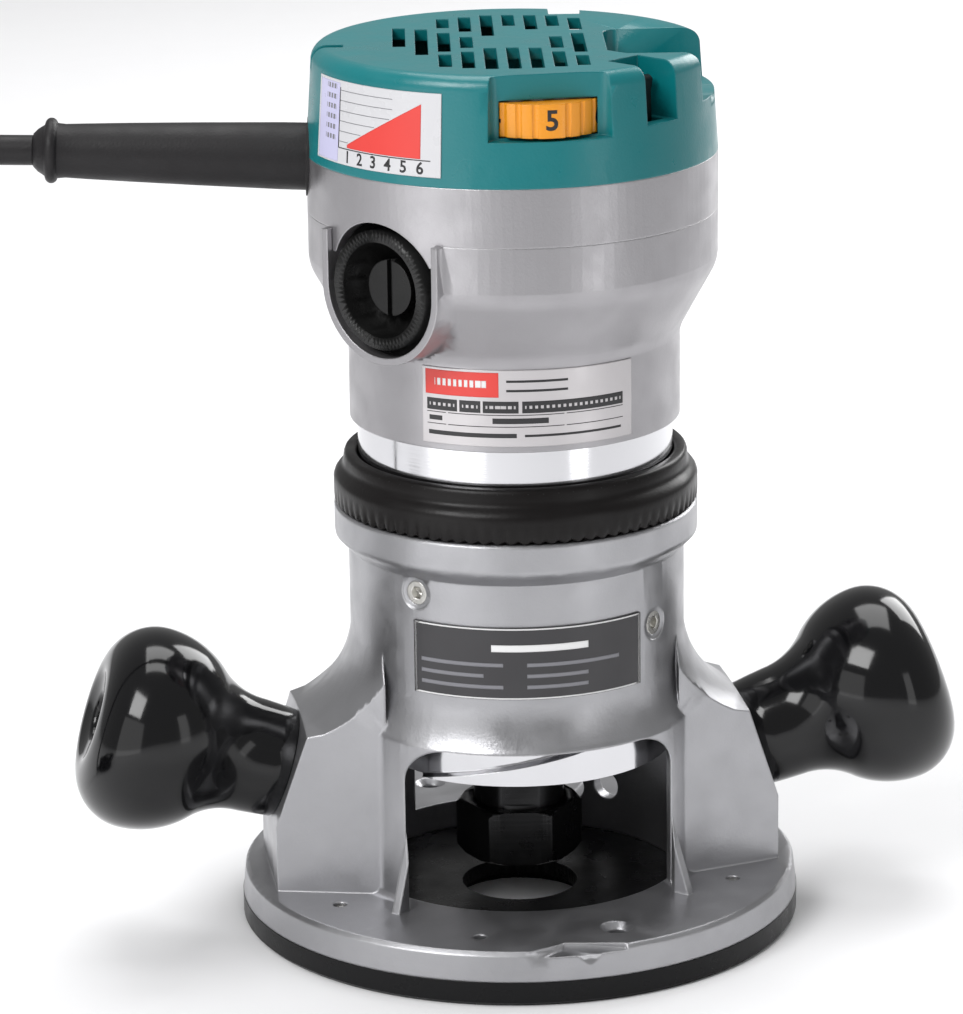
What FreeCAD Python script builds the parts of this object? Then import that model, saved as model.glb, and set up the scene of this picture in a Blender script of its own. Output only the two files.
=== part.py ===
"""Fixed-base router: a motor that screws up and down in a cast base with two side knobs.

Frame: millimetres, +Z up, origin at the centre of the sub-base's underside, knobs along X,
chip window towards -Y.  Angles are turns about +Z measured from -Y, so +90 is +X.
Motor pieces are built about the motor's own axes and then turned by motor_turn.
"""
import FreeCAD, Part
import math
import os
import re

from FreeCAD import Placement, Rotation, Vector
import Sketcher

SIZES = {
    # sub-base and the casting's flange
    "sub_base_radius": 73.0, "sub_base_thick": 6.4, "bit_hole_radius": 15.1,
    "bushing_step_radius": 17.6, "bushing_step_depth": 2.4,
    "flange_radius": 72.9, "flange_top_radius": 71.2, "flange_thick": 7.6,
    "sub_screw_circle": 59.3, "sub_screw_radius": 1.8, "sub_screw_head_radius": 3.8,
    "sub_screw_head_depth": 3.4, "guide_hole_circle": 61.7, "guide_hole_radius": 1.75,
    "guide_hole_angle": -18.5, "rod_hole_circle": 60.1, "rod_hole_radius": 2.6,
    "rod_hole_angle": 14.9, "rim_notch_depth": 1.4,
    # neck, collar and chamber of the casting
    "neck_radius": 43.3, "collar_radius": 46.8, "collar_height": 9.0, "base_top": 112.0,
    "chamber_radius": 43.5, "chamber_top": 56.0, "skirt_radius": 47.0, "skirt_top": 57.0,
    "window_half_width": 34.4, "window_top": 57.0, "window_corner": 10.0,
    "rear_window_left": -22.5, "rear_window_right": 10.0, "rear_window_top": 45.0,
    "rear_hole_radius": 3.8, "rib_angle": 44.5, "rib_foot_radius": 54.7, "rib_top": 37.0,
    "rib_thick": 2.3,
    # knob bosses and knobs
    "knob_seat_radius": 62.1, "knob_seat_height": 43.0, "knob_tilt": 18.5,
    "boss_root": 38.0, "boss_root_half": 24.7, "boss_end": 66.0, "boss_end_half": 17.2,
    "boss_shoulder_radius": 57.4, "boss_shoulder_height": 57.0, "boss_top": 84.0,
    "knob_length": 51.8, "knob_max_radius": 26.5, "knob_stem_radius": 14.3,
    "knob_bolt_radius": 4.0, "knob_bolt_head_radius": 5.5, "knob_bolt_seat": 34.0,
    "knob_bolt_depth": 13.0,
    # clamp at the back of the neck
    "slit_width": 2.4, "lug_reach": 57.0, "lug_half_span": 11.0, "lug_bottom": 72.0,
    "lug_top": 98.0, "clamp_bolt_radius": 3.0, "clamp_bolt_y": 50.5, "clamp_bolt_height": 85.0,
    "lever_hub_radius": 7.5, "lever_width": 8.0, "lever_length": 40.0, "lever_arm_width": 9.0,
    # motor body and its helical thread
    "motor_turn": -7.5, "motor_radius": 40.4, "motor_clearance": 0.05, "motor_bottom": 46.6,
    "paint_bottom": 134.8, "paint_radius": 42.3, "motor_wall": 4.9, "motor_floor": 13.4,
    "groove_lead": 46.0, "groove_width": 6.8, "groove_depth": 2.5, "groove_top": 108.0,
    "pin_radius": 3.0, "pin_high": 96.5, "pin_angle": 45.0,
    "shoulder_bottom": 156.0, "shoulder_top": 174.8, "head_radius": 51.9, "head_wall": 3.4,
    "seam_height": 188.6, "ring_top": 203.2, "stud_circle": 43.0, "stud_radius": 2.0,
    "stud_head_radius": 3.2, "stud_lug_half": 4.5, "stud_lug_reach": 39.0,
    # depth ring
    "scale_top": 125.5, "scale_radius": 43.8, "grip_radius": 46.8, "grip_height": 7.6,
    "scale_bore": 40.8, "ring_gap": 0.1,
    # brush gear
    "brush_angle": -42.0, "brush_height": 175.5, "brush_boss_radius": 17.0,
    "brush_boss_face": 50.8, "brush_boss_wall": 1.9, "brush_notch_floor": 46.0,
    "brush_tube_radius": 15.0, "brush_recess_radius": 12.0,
    "brush_recess_floor": 44.0, "brush_cap_radius": 7.0, "brush_width": 6.4,
    "brush_height_size": 12.0, "commutator_radius": 14.0, "commutator_height": 20.0,
    "spring_radius": 2.8, "spring_length": 8.2,
    # top cover
    "cover_top": 230.3, "cover_rim_radius": 50.3, "cover_rim_height": 226.5,
    "cover_edge": 3.8, "cover_wall": 3.0, "vent_width": 3.2, "vent_pitch": 5.62,
    "dial_angle": 9.5, "dial_radius": 15.7, "dial_centre": 35.3, "dial_bottom": 215.3,
    "dial_height": 8.3, "dial_recess_floor": 214.5, "dial_recess_back": 46.0,
    "dial_recess_half": 14.2, "dial_shaft_radius": 3.0,
    "switch_angle": 45.0, "switch_slot_width": 11.0, "switch_slot_floor": 216.0,
    "switch_slot_back": 37.5, "switch_pivot_reach": 42.8,
    "switch_pivot_radius": 1.2, "pocket_left": 23.4, "pocket_front": -20.0, "pocket_rear": 14.0,
    "pocket_floor": 218.0,
    # motor inside
    "shaft_radius": 8.5, "upper_shaft_radius": 4.0, "core_radius": 21.5, "core_bottom": 88.0,
    "core_top": 138.0, "air_gap": 0.6, "lower_bearing_radius": 17.5,
    "lower_bearing_height": 10.0, "upper_bearing_radius": 11.0, "upper_bearing_height": 7.0,
    "upper_bearing_bottom": 193.0, "fan_radius": 33.0, "fan_bottom": 63.0, "fan_height": 12.0,
    # collet
    "nose_radius": 11.9, "nut_across_flats": 28.6, "nut_bottom": 15.5, "nut_height": 14.5,
    "collet_radius": 6.35, "collet_outer_radius": 9.4,
    # cord
    "guard_foot": 46.0, "guard_height": 201.4, "guard_tilt": 2.25, "guard_root_radius": 8.5,
    "guard_tip_radius": 6.75, "guard_collar_radius": 8.25, "guard_reach": 120.5,
    "cord_radius": 3.8, "coil_inner_radius": 30.6, "coil_outer_radius": 53.4,
    "coil_height": 22.8, "coil_floor": 1.0,
}

CORD_ROUTE = [   # the cord's points from the guard's tip to the coil, laid out by hand
    (-119.4, 15.7, 204.3), (-145.7, 19.3, 205.3), (-176.4, 23.8, 197.0),
    (-197.2, 27.2, 172.0), (-205.1, 29.4, 138.0), (-207.1, 30.8, 103.0),
    (-207.6, 31.0, 70.0), (-212.0, 30.2, 42.0), (-226.0, 30.6, 20.0),
    (-246.8, 32.6, 7.5), (-269.6, 35.4, 3.9),
]

COIL_CENTRE = (-302.6, -11.2)
TIE_ANGLE = 20
PLUG_ANGLE = -90

doc = FreeCAD.newDocument("router")
sheet = doc.addObject("Spreadsheet::Sheet", "Sizes")
for row, (alias, number) in enumerate(SIZES.items(), start=1):
    sheet.set(f"A{row}", alias)
    sheet.set(f"B{row}", str(number))
    sheet.setAlias(f"B{row}", alias)
doc.recompute()
nodes = {}


# ---------------------------------------------------------------- helpers
def cell(expression):
    """Write an expression of plain size names as one on the spreadsheet's cells."""
    return re.sub(r"[a-z_]+", lambda word: f"Sizes.{word.group()}" if word.group() in SIZES
                  else word.group(), str(expression))


def size(expression):
    """Read the number that an expression of size names gives."""
    found = sheet.evalExpression(cell(expression))
    return float(getattr(found, "Value", found))


def bind(item, **expressions):
    for name, expression in expressions.items():
        item.setExpression(name.replace("_", "."), cell(expression))
    return item


def at(item, x="0", y="0", z="0"):
    """Stand an unturned item at a place given by expressions."""
    item.Placement = Placement(Vector(size(x), size(y), size(z)), Rotation())
    return bind(item, Placement_Base_x=x, Placement_Base_y=y, Placement_Base_z=z)


def outward(angle, radius, height, tilt=0.0):
    """A place whose own Z points out from the axis and whose Y points up."""
    turn = math.radians(angle)
    out = Vector(math.sin(turn), -math.cos(turn), 0)
    frame = Rotation(Vector(math.cos(turn), math.sin(turn), 0), Vector(0, 0, 1), out, "ZXY")
    where = out * size(radius) + Vector(0, 0, size(height))
    return Placement(where, frame * Rotation(Vector(1, 0, 0), -tilt))


def about_axis(angle):
    return Placement(Vector(), Rotation(Vector(0, 0, 1), angle))


def cylinder(name, radius, height, x="0", y="0", z="0"):
    item = doc.addObject("Part::Cylinder", name)
    bind(item, Radius=radius, Height=height)
    return at(item, x, y, z)


def cone(name, lower, upper, height, z="0"):
    item = doc.addObject("Part::Cone", name)
    bind(item, Radius1=lower, Radius2=upper, Height=height)
    return at(item, z=z)


def box(name, x, y, z):
    """A box from three pairs of expressions, lowest and highest along each axis."""
    item = doc.addObject("Part::Box", name)
    bind(item, Length=f"({x[1]}) - ({x[0]})", Width=f"({y[1]}) - ({y[0]})",
         Height=f"({z[1]}) - ({z[0]})")
    return at(item, x[0], y[0], z[0])


def placed(item, place):
    """Put a place in front of an item's own, keeping what its expressions give."""
    own = item.Placement
    for axis in "xyz":
        item.setExpression(f"Placement.Base.{axis}", None)
    item.Placement = place.multiply(own)
    return item


def loose(items):
    """The single items that a list of items and groups holds."""
    return [single for item in items
            for single in (item.Links if item.TypeId == "Part::Compound" else [item])]


def fuse(name, *items):
    joined = doc.addObject("Part::MultiFuse", name)
    joined.Shapes = loose(items)
    return joined


def cut(name, base, *tools):
    result = doc.addObject("Part::Cut", name)
    result.Base = base
    result.Tool = tools[0] if len(tools) == 1 else fuse(f"{name}_tools", *tools)
    return result


def common(name, *items):
    shared = doc.addObject("Part::MultiCommon", name)
    shared.Shapes = list(items)
    return shared


def group(name, *items):
    bundle = doc.addObject("Part::Compound", name)
    bundle.Links = list(items)
    return bundle


def draw(sketch, corners):
    """Close an outline of (x, y) corners; a third value is the radius of the arc that leads
    to that corner, positive when it turns left."""
    points = [Vector(size(corner[0]), size(corner[1]), 0) for corner in corners]
    count = len(corners)
    for index in range(count):
        start, end = points[index], points[(index + 1) % count]
        corner = corners[(index + 1) % count]
        if len(corner) == 2:
            sketch.addGeometry(Part.LineSegment(start, end))
            continue
        radius = size(corner[2])
        chord = end - start
        side = Vector(-chord.y, chord.x, 0).normalize()
        depth = math.sqrt(max(radius ** 2 - (chord.Length / 2) ** 2, 0.0))
        centre = (start + end) * 0.5 + side * math.copysign(depth, radius)
        middle = centre - side * math.copysign(abs(radius), radius)
        sketch.addGeometry(Part.Arc(start, middle, end))
    for index in range(count):
        before = (index - 1) % count
        ends = [sketch.getPoint(before, 1), sketch.getPoint(before, 2)]
        last = 1 if (ends[0] - points[index]).Length < (ends[1] - points[index]).Length else 2
        heads = [sketch.getPoint(index, 1), sketch.getPoint(index, 2)]
        first = 1 if (heads[0] - points[index]).Length < (heads[1] - points[index]).Length else 2
        sketch.addConstraint(Sketcher.Constraint("Coincident", before, last, index, first))
        for letter, kind, expression in (("x", "DistanceX", corners[index][0]),
                                         ("y", "DistanceY", corners[index][1])):
            number = sketch.addConstraint(
                Sketcher.Constraint(kind, -1, 1, index, first, size(expression)))
            sketch.renameConstraint(number, f"{letter}{index}")
            sketch.setExpression(f"Constraints.{letter}{index}", cell(expression))
    for index in range(count):
        corner = corners[(index + 1) % count]
        if len(corner) == 3:
            number = sketch.addConstraint(
                Sketcher.Constraint("Radius", index, abs(size(corner[2]))))
            sketch.renameConstraint(number, f"arc{index}")
            sketch.setExpression(f"Constraints.arc{index}", cell(f"abs({corner[2]})"))


def sketched(name, plane, corners):
    """A body with one closed sketch on one of its own origin planes."""
    body = doc.addObject("PartDesign::Body", name)
    sketch = body.newObject("Sketcher::SketchObject", f"{name}_outline")
    origin = [item for item in body.Origin.OriginFeatures if item.Role == plane]
    sketch.AttachmentSupport = [(origin[0], "")]
    sketch.MapMode = "FlatFace"
    draw(sketch, corners)
    return body, sketch


def turned(name, corners):
    """A body revolved about Z from an outline of (radius, height) corners."""
    body, sketch = sketched(name, "XZ_Plane", corners)
    feature = body.newObject("PartDesign::Revolution", f"{name}_turning")
    feature.Profile = sketch
    feature.ReferenceAxis = (sketch, ["V_Axis"])
    feature.Angle = 360
    return body


def milled(name, corners, z, height):
    """A body padded up from an outline of (x, y) corners."""
    body, sketch = sketched(name, "XY_Plane", corners)
    bind(sketch, AttachmentOffset_Base_z=z)
    feature = body.newObject("PartDesign::Pad", f"{name}_pad")
    feature.Profile = sketch
    bind(feature, Length=height)
    return body


def keep(name, item, place=None):
    """Make an item a node of its own name, turned with the motor when a place is given."""
    if place is not None:
        placed(item, place)
    item.Label = name
    nodes[name] = item
    return item


def around(name, angles, maker):
    """Bundle copies that a maker builds, each turned about the axis by its angle."""
    return group(name, *[placed(maker(f"{name}_{index}"), about_axis(angle))
                         for index, angle in enumerate(angles)])


MOTOR = about_axis(size("motor_turn"))
SUB_SCREW_ANGLES = (-120, -60, 60, 120)
GUIDE_ANGLES = (size("guide_hole_angle"), size("guide_hole_angle") + 180)
ROD_ANGLES = (size("rod_hole_angle"), size("rod_hole_angle") + 180)
PINS = ((-45, "pin_high"), (45, "pin_high + groove_lead * (2 * pin_angle / 360 - 1 / 2)"),
        (135, "pin_high"), (-135, "pin_high + groove_lead * (2 * pin_angle / 360 - 1 / 2)"))
BRUSH_ANGLES = (size("brush_angle"), size("brush_angle") + 180)
STUD_ANGLES = (-14, 110, -135)


# ---------------------------------------------------------------- base
def make_sub_base():
    disc = turned("sub_base_disc", [
        ("bit_hole_radius", "bushing_step_depth"), ("bushing_step_radius", "bushing_step_depth"),
        ("bushing_step_radius", "0"), ("sub_base_radius - 1", "0"), ("sub_base_radius", "1"),
        ("sub_base_radius", "sub_base_thick"), ("bit_hole_radius", "sub_base_thick")])
    holes = around("sub_base_holes", SUB_SCREW_ANGLES, lambda name: fuse(
        name, cylinder(f"{name}_shank", "sub_screw_radius + 0.3", "sub_base_thick + 2",
                       y="-sub_screw_circle", z="-1"),
        cylinder(f"{name}_head", "sub_screw_head_radius + 0.4", "sub_screw_head_depth + 1",
                 y="-sub_screw_circle", z="-1")))
    keep("sub_base", cut("sub_base_drilled", disc, holes))

    keep("sub_base_screws", around("sub_base_screw", SUB_SCREW_ANGLES, lambda name: cut(
        name,
        fuse(f"{name}_body",
             cylinder(f"{name}_head", "sub_screw_head_radius", "sub_screw_head_depth - 0.8",
                      y="-sub_screw_circle", z="0.8"),
             cylinder(f"{name}_shank", "sub_screw_radius - 0.04",
                      "sub_base_thick + flange_thick - sub_screw_head_depth - 0.6",
                      y="-sub_screw_circle", z="sub_screw_head_depth")),
        box(f"{name}_slot", ("-0.6", "0.6"),
            ("-sub_screw_circle - 2.6", "-sub_screw_circle + 2.6"), ("0", "1.8")),
        box(f"{name}_cross", ("-2.6", "2.6"),
            ("-sub_screw_circle - 0.6", "-sub_screw_circle + 0.6"), ("0", "1.8")))))


def make_boss(name, angle):
    """The block that carries a knob, its shoulder sweeping up into the neck."""
    block = milled(f"{name}_block", [
        ("boss_root", "-boss_root_half"), ("boss_end", "-boss_end_half"),
        ("boss_end", "boss_end_half"), ("boss_root", "boss_root_half")],
        "sub_base_thick + 1", "boss_top - sub_base_thick - 1")
    sweep = turned(f"{name}_sweep", [
        ("30", "sub_base_thick"), ("90", "sub_base_thick"), ("90", "boss_shoulder_height - 9"),
        ("boss_shoulder_radius", "boss_shoulder_height"),
        ("neck_radius - 0.1", "boss_top", "-28.6"), ("30", "boss_top")])
    shape = placed(common(f"{name}_shape", block, sweep), about_axis(angle - 90))
    seat = placed(box(f"{name}_seat", ("-60", "60"), ("-60", "60"), ("0", "60")),
                  outward(angle, "knob_seat_radius", "knob_seat_height", size("knob_tilt")))
    return cut(name, shape, seat)


def make_rib(name):
    body, sketch = sketched(name, "YZ_Plane", [
        ("-chamber_radius - 0.5", "sub_base_thick + 1"), ("-rib_foot_radius", "sub_base_thick + 1"),
        ("-rib_foot_radius", "sub_base_thick + flange_thick"),
        ("-skirt_radius + 0.2", "rib_top"), ("-chamber_radius - 0.5", "rib_top")])
    feature = body.newObject("PartDesign::Pad", f"{name}_pad")
    feature.Profile = sketch
    feature.Midplane = True
    bind(feature, Length="rib_thick")
    return body


def window(name, left, right, low, high, corner, reach):
    """A tool that opens a wall along Y, with rounded upper corners."""
    body, sketch = sketched(name, "XZ_Plane", [
        (left, low), (right, low), (right, f"{high} - {corner}"),
        (f"{right} - {corner}", high, corner), (f"{left} + {corner}", high),
        (left, f"{high} - {corner}", corner)])
    feature = body.newObject("PartDesign::Pad", f"{name}_pad")
    feature.Profile = sketch
    bind(feature, Length="80")
    feature.Reversed = reach > 0
    return body


def make_base():
    flange_top = "sub_base_thick + flange_thick"
    shell = turned("base_turning", [
        ("30", "sub_base_thick"), ("flange_radius", "sub_base_thick"),
        ("flange_top_radius + 1", f"{flange_top} - 1"), ("flange_top_radius", flange_top),
        ("skirt_radius + 2", flange_top), ("skirt_radius", f"{flange_top} + 2", "-2"),
        ("skirt_radius", "skirt_top"), ("neck_radius", "skirt_top + 12", "-21.3"),
        ("neck_radius", "base_top - collar_height - 2.5"),
        ("collar_radius - 0.1", "base_top - collar_height + 1"),
        ("collar_radius", "base_top - collar_height + 2"), ("collar_radius", "base_top - 0.6"),
        ("collar_radius - 0.6", "base_top"), ("30", "base_top")])
    lugs = box("clamp_lugs", ("-lug_half_span", "lug_half_span"), ("36", "lug_reach"),
               ("lug_bottom", "lug_top"))
    ribs = around("base_ribs", (-size("rib_angle"), size("rib_angle")), make_rib)
    solid = fuse("base_solid", shell, make_boss("boss_right", 90), make_boss("boss_left", -90),
                 lugs, ribs)

    bore = turned("base_bore", [
        ("0", "0"), ("chamber_radius", "0"), ("chamber_radius", "chamber_top"),
        ("motor_radius + motor_clearance", "chamber_top + 4"),
        ("motor_radius + motor_clearance", "base_top + 5"), ("0", "base_top + 5")])
    holes = [around("sub_screw_holes", SUB_SCREW_ANGLES, lambda name: cylinder(
                 name, "sub_screw_radius", "30", y="-sub_screw_circle")),
             around("guide_holes", GUIDE_ANGLES, lambda name: cylinder(
                 name, "guide_hole_radius", "30", y="-guide_hole_circle")),
             around("rod_holes", ROD_ANGLES, lambda name: fuse(
                 name, cylinder(f"{name}_bore", "rod_hole_radius", "30", y="-rod_hole_circle"),
                 at(cone(f"{name}_sink", "rod_hole_radius", "rod_hole_radius + 2", "2"),
                    y="-rod_hole_circle", z=f"{flange_top} - 1.6")))]
    notch = milled("rim_notch", [
        ("0", "-67"), ("-13", "-flange_radius - 3"), ("17", "-flange_radius - 3"),
        ("15.7", "-69.2"), ("0.5", "-66.5")], f"{flange_top} - rim_notch_depth", "5")
    front = window("front_window", "-window_half_width", "window_half_width", flange_top,
                   "window_top", "window_corner", -1)
    rear = window("rear_window", "rear_window_left", "rear_window_right", flange_top,
                  "rear_window_top", "6", 1)
    peepholes = [placed(cylinder(f"rear_hole_{index}", "rear_hole_radius", "40", z="20"),
                        outward(angle, "0", height))
                 for index, (angle, height) in enumerate(((152, "17.6"), (138, "19.4")))]
    slit = box("clamp_slit", ("-slit_width / 2", "slit_width / 2"), ("36", "lug_reach + 2"),
               ("lug_bottom - 8", "base_top + 2"))
    bolt_hole = placed(cylinder("clamp_bolt_hole", "clamp_bolt_radius + 0.05", "60", z="-30"),
                       Placement(Vector(0, size("clamp_bolt_y"), size("clamp_bolt_height")),
                                 Rotation(Vector(0, 1, 0), 90)))
    pin_tools = []
    for index, (angle, height) in enumerate(PINS):
        pin_tools.append(placed(cylinder(f"pin_hole_{index}", "pin_radius + 0.05", "20"),
                                outward(angle, "motor_radius - 5", height)))
        pin_tools.append(placed(cylinder(f"pin_face_{index}", "pin_radius + 1.3", "20"),
                                outward(angle, "neck_radius - 0.5", height)))
    knob_holes = [placed(cylinder(f"knob_hole_{side}", "knob_bolt_radius + 0.05",
                                  "knob_bolt_depth + 20", z="-knob_bolt_depth - 1"),
                         outward(90 * side, "knob_seat_radius", "knob_seat_height",
                                 size("knob_tilt"))) for side in (-1, 1)]
    keep("base_casting", cut("base_machined", solid, bore, *holes, notch, front, rear,
                             *peepholes, slit, bolt_hole, *pin_tools, *knob_holes))


def make_guide_pins():
    """Set screws whose tips run in the motor's grooves."""
    pins = []
    for index, (angle, height) in enumerate(PINS):
        pin = cut(f"guide_pin_{index}",
                  cylinder(f"guide_pin_rod_{index}", "pin_radius",
                           "neck_radius - motor_radius + groove_depth - 0.8"),
                  milled(f"guide_pin_key_{index}", hexagon("3"),
                         "neck_radius - motor_radius + groove_depth - 2.8", "3"))
        pins.append(placed(pin, outward(angle, "motor_radius - groove_depth + 0.3", height)))
    keep("guide_pins", group("guide_pin_set", *pins))


def hexagon(across_flats):
    """Corners of a hexagon with two flats across Y."""
    return [(f"{across_flats} / sqrt(3) * cos({60 * step})",
             f"{across_flats} / sqrt(3) * sin({60 * step})") for step in range(6)]


def make_knob(name, angle):
    """A turned knob with a narrow stem, a bulb and a dished end for its bolt."""
    bulb = "knob_max_radius"
    body = turned(f"{name}_turning", [
        ("knob_bolt_radius + 0.1", "0"), ("knob_stem_radius", "0"),
        ("knob_stem_radius + 0.7", "9"), ("knob_stem_radius + 6.3", "22", "-17.9"),
        (bulb, "38", "24.6"), (f"{bulb} - 13.76", "knob_length", "13.76"),
        ("knob_bolt_head_radius + 0.3", "knob_length - 1.2"),
        ("knob_bolt_head_radius + 0.3", "knob_bolt_seat"),
        ("knob_bolt_radius + 0.1", "knob_bolt_seat")])
    keep(name, body, outward(angle, "knob_seat_radius", "knob_seat_height", size("knob_tilt")))


def make_knob_bolts():
    bolts = []
    for side in (-1, 1):
        bolt = cut(f"knob_bolt_{side}",
                   fuse(f"knob_bolt_body_{side}",
                        cylinder(f"knob_bolt_shank_{side}", "knob_bolt_radius",
                                 "knob_bolt_seat + knob_bolt_depth", z="-knob_bolt_depth"),
                        cylinder(f"knob_bolt_head_{side}", "knob_bolt_head_radius", "7",
                                 z="knob_bolt_seat")),
                   milled(f"knob_bolt_key_{side}", hexagon("6"), "knob_bolt_seat + 3", "6"))
        bolts.append(placed(bolt, outward(90 * side, "knob_seat_radius", "knob_seat_height",
                                          size("knob_tilt"))))
    keep("knob_bolts", group("knob_bolt_set", *bolts))


def curved_plate(name, radius, thick, angles, heights, slope="0"):
    """A thin plate bent round the axis between two angles and two heights."""
    low, high = heights
    body, sketch = sketched(name, "XZ_Plane", [
        (radius, low), (f"{radius} + {thick}", low),
        (f"{radius} + {thick} - {slope} * ({high} - {low})", high),
        (f"{radius} - {slope} * ({high} - {low})", high)])
    feature = body.newObject("PartDesign::Revolution", f"{name}_turning")
    feature.Profile = sketch
    feature.ReferenceAxis = (sketch, ["V_Axis"])
    feature.Angle = angles[1] - angles[0]
    return placed(body, about_axis(angles[0] - 90))


def make_clamp():
    """Bolt, nut and lever that close the neck on the motor."""
    along_x = Placement(Vector(0, size("clamp_bolt_y"), size("clamp_bolt_height")),
                        Rotation(Vector(0, 1, 0), 90))
    bolt = fuse("clamp_bolt_body",
                cylinder("clamp_bolt_shank", "clamp_bolt_radius",
                         "2 * lug_half_span + lever_width + 9", z="-lug_half_span - 7"),
                milled("clamp_bolt_nut", hexagon("10"), "-lug_half_span - 5", "5"))
    keep("clamp_bolt", bolt, along_x)
    washer = cut("clamp_washer_ring", cylinder("clamp_washer_disc", "6", "1", z="lug_half_span"),
                 cylinder("clamp_washer_hole", "clamp_bolt_radius + 0.05", "3",
                          z="lug_half_span - 1"))
    keep("clamp_washer", washer, along_x)
    hub = cylinder("lever_hub", "lever_hub_radius", "lever_width", z="lug_half_span + 1.1")
    arm = milled("lever_arm", [
        ("lever_length", "-lever_arm_width / 2 + 1"), ("lever_length + 3", "0"),
        ("lever_length", "lever_arm_width / 2 - 1"), ("3", "lever_hub_radius - 1.5"),
        ("3", "1.5 - lever_hub_radius")], "lug_half_span + 2.1", "lever_width - 2")
    lever = cut("lever_body", fuse("lever_solid", hub, arm),
                cylinder("lever_bore", "clamp_bolt_radius + 0.05", "40", z="0"))
    keep("lock_lever", lever, along_x)


def make_depth_ring():
    low = "base_top + ring_gap"
    ring = turned("depth_ring_turning", [
        ("scale_bore", low), ("grip_radius - 0.6", low), ("grip_radius", f"{low} + 0.6"),
        ("grip_radius", f"{low} + grip_height"), ("scale_radius + 0.6", f"{low} + grip_height + 2",
                                                  "-3"),
        ("scale_radius + 0.3", f"{low} + grip_height + 2.5"), ("scale_radius", "scale_top"),
        ("scale_bore", "scale_top")])
    keep("depth_ring", ring)


# ---------------------------------------------------------------- motor casing
def groove(name, start_angle):
    """One start of the motor's helical groove, as the solid that is cut away."""
    lead, width = size("groove_lead"), size("groove_width")
    inner, outer = size("motor_radius - groove_depth"), size("motor_radius + 3")
    low = size("motor_bottom") - width
    high = size("groove_top")
    helix = Part.makeHelix(lead, high - low, inner)
    corners = [Vector(radius, 0, height) for radius, height in
               ((inner, -width / 2), (outer, -width / 2), (outer, width / 2), (inner, width / 2))]
    profile = Part.makePolygon(corners + corners[:1])
    item = doc.addObject("Part::Feature", name)
    item.Shape = helix.makePipeShell([profile], True, True)
    item.Placement = Placement(Vector(0, 0, low),
                               Rotation(Vector(0, 0, 1), start_angle - 90))
    return item


def make_motor_housing():
    inner = "motor_radius - motor_wall"
    floor = "motor_bottom + motor_floor"
    shell = turned("motor_turning", [
        ("lower_bearing_radius - 2", "motor_bottom"), ("motor_radius - 0.5", "motor_bottom"),
        ("motor_radius", "motor_bottom + 0.5"), ("motor_radius", "paint_bottom"),
        ("paint_radius", "paint_bottom"), ("paint_radius", "shoulder_bottom"),
        ("paint_radius + 1.6", "shoulder_bottom + 4.4", "-11"),
        ("head_radius - 1.4", "shoulder_top - 2.4"),
        ("head_radius", "shoulder_top + 2.2", "10"), ("head_radius", "seam_height"),
        ("head_radius - head_wall", "seam_height"),
        ("head_radius - head_wall", "shoulder_top + 3"), (inner, "shoulder_bottom + 1"),
        (inner, floor), ("lower_bearing_radius", floor),
        ("lower_bearing_radius", f"{floor} - lower_bearing_height - 1"),
        ("lower_bearing_radius - 2", f"{floor} - lower_bearing_height - 1")])
    boss_back = "brush_boss_face - 9.3"
    bosses = [brush_arch(f"brush_boss_{index}", angle, "brush_boss_radius + brush_boss_wall",
                         boss_back, "9.3", "seam_height - brush_height")
              for index, angle in enumerate(BRUSH_ANGLES)]
    lugs = around("motor_lugs", STUD_ANGLES, lambda name: box(
        name, ("-stud_lug_half", "stud_lug_half"),
        ("-head_radius + head_wall - 0.5", "-stud_lug_reach"),
        ("seam_height - 8.6", "seam_height")))
    solid = fuse("motor_solid", shell, *bosses, lugs)
    solid.Refine = False
    bores = [placed(cylinder(f"brush_bore_{index}", "brush_tube_radius + 0.05", "40"),
                    outward(angle, "20", "brush_height"))
             for index, angle in enumerate(BRUSH_ANGLES)]
    notches = [brush_arch(f"brush_notch_{index}", angle, "brush_boss_radius + 0.05",
                          "brush_notch_floor", "12", "seam_height - brush_height + 1")
               for index, angle in enumerate(BRUSH_ANGLES)]
    above_seam = box("seam_trim", ("-60", "60"), ("-60", "60"),
                     ("seam_height", "seam_height + 20"))
    vents = around("motor_vents", range(0, 360, 45), lambda name: cylinder(
        name, "4", "motor_floor + 2", y="-27", z="motor_bottom - 1"))
    studs = around("motor_stud_holes", STUD_ANGLES, lambda name: cylinder(
        name, "stud_radius + 0.05", "20", y="-stud_circle", z="seam_height - 15"))
    at_bottom = 360 * (size("motor_bottom - groove_width - pin_high")) / size("groove_lead")
    grooves = [groove(f"groove_{start}", at_bottom - size("pin_angle") + 180 * start
                      - size("motor_turn")) for start in (0, 1)]
    ears = make_ears("housing_ears", 0.1)
    keep("motor_housing", cut("motor_machined", solid, *bores, *notches, above_seam, vents, studs, *grooves,
                              *ears),
         MOTOR)


def brush_arch(name, angle, radius, start, depth, rise):
    """A round boss or bore about a brush's axis, carried straight up to the seam."""
    return placed(fuse(name, cylinder(f"{name}_round", radius, depth, z=start),
                       box(f"{name}_rise", (f"-({radius})", radius), ("0", rise),
                           (start, f"{start} + {depth}"))),
                  outward(angle, "0", "brush_height"))


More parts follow.
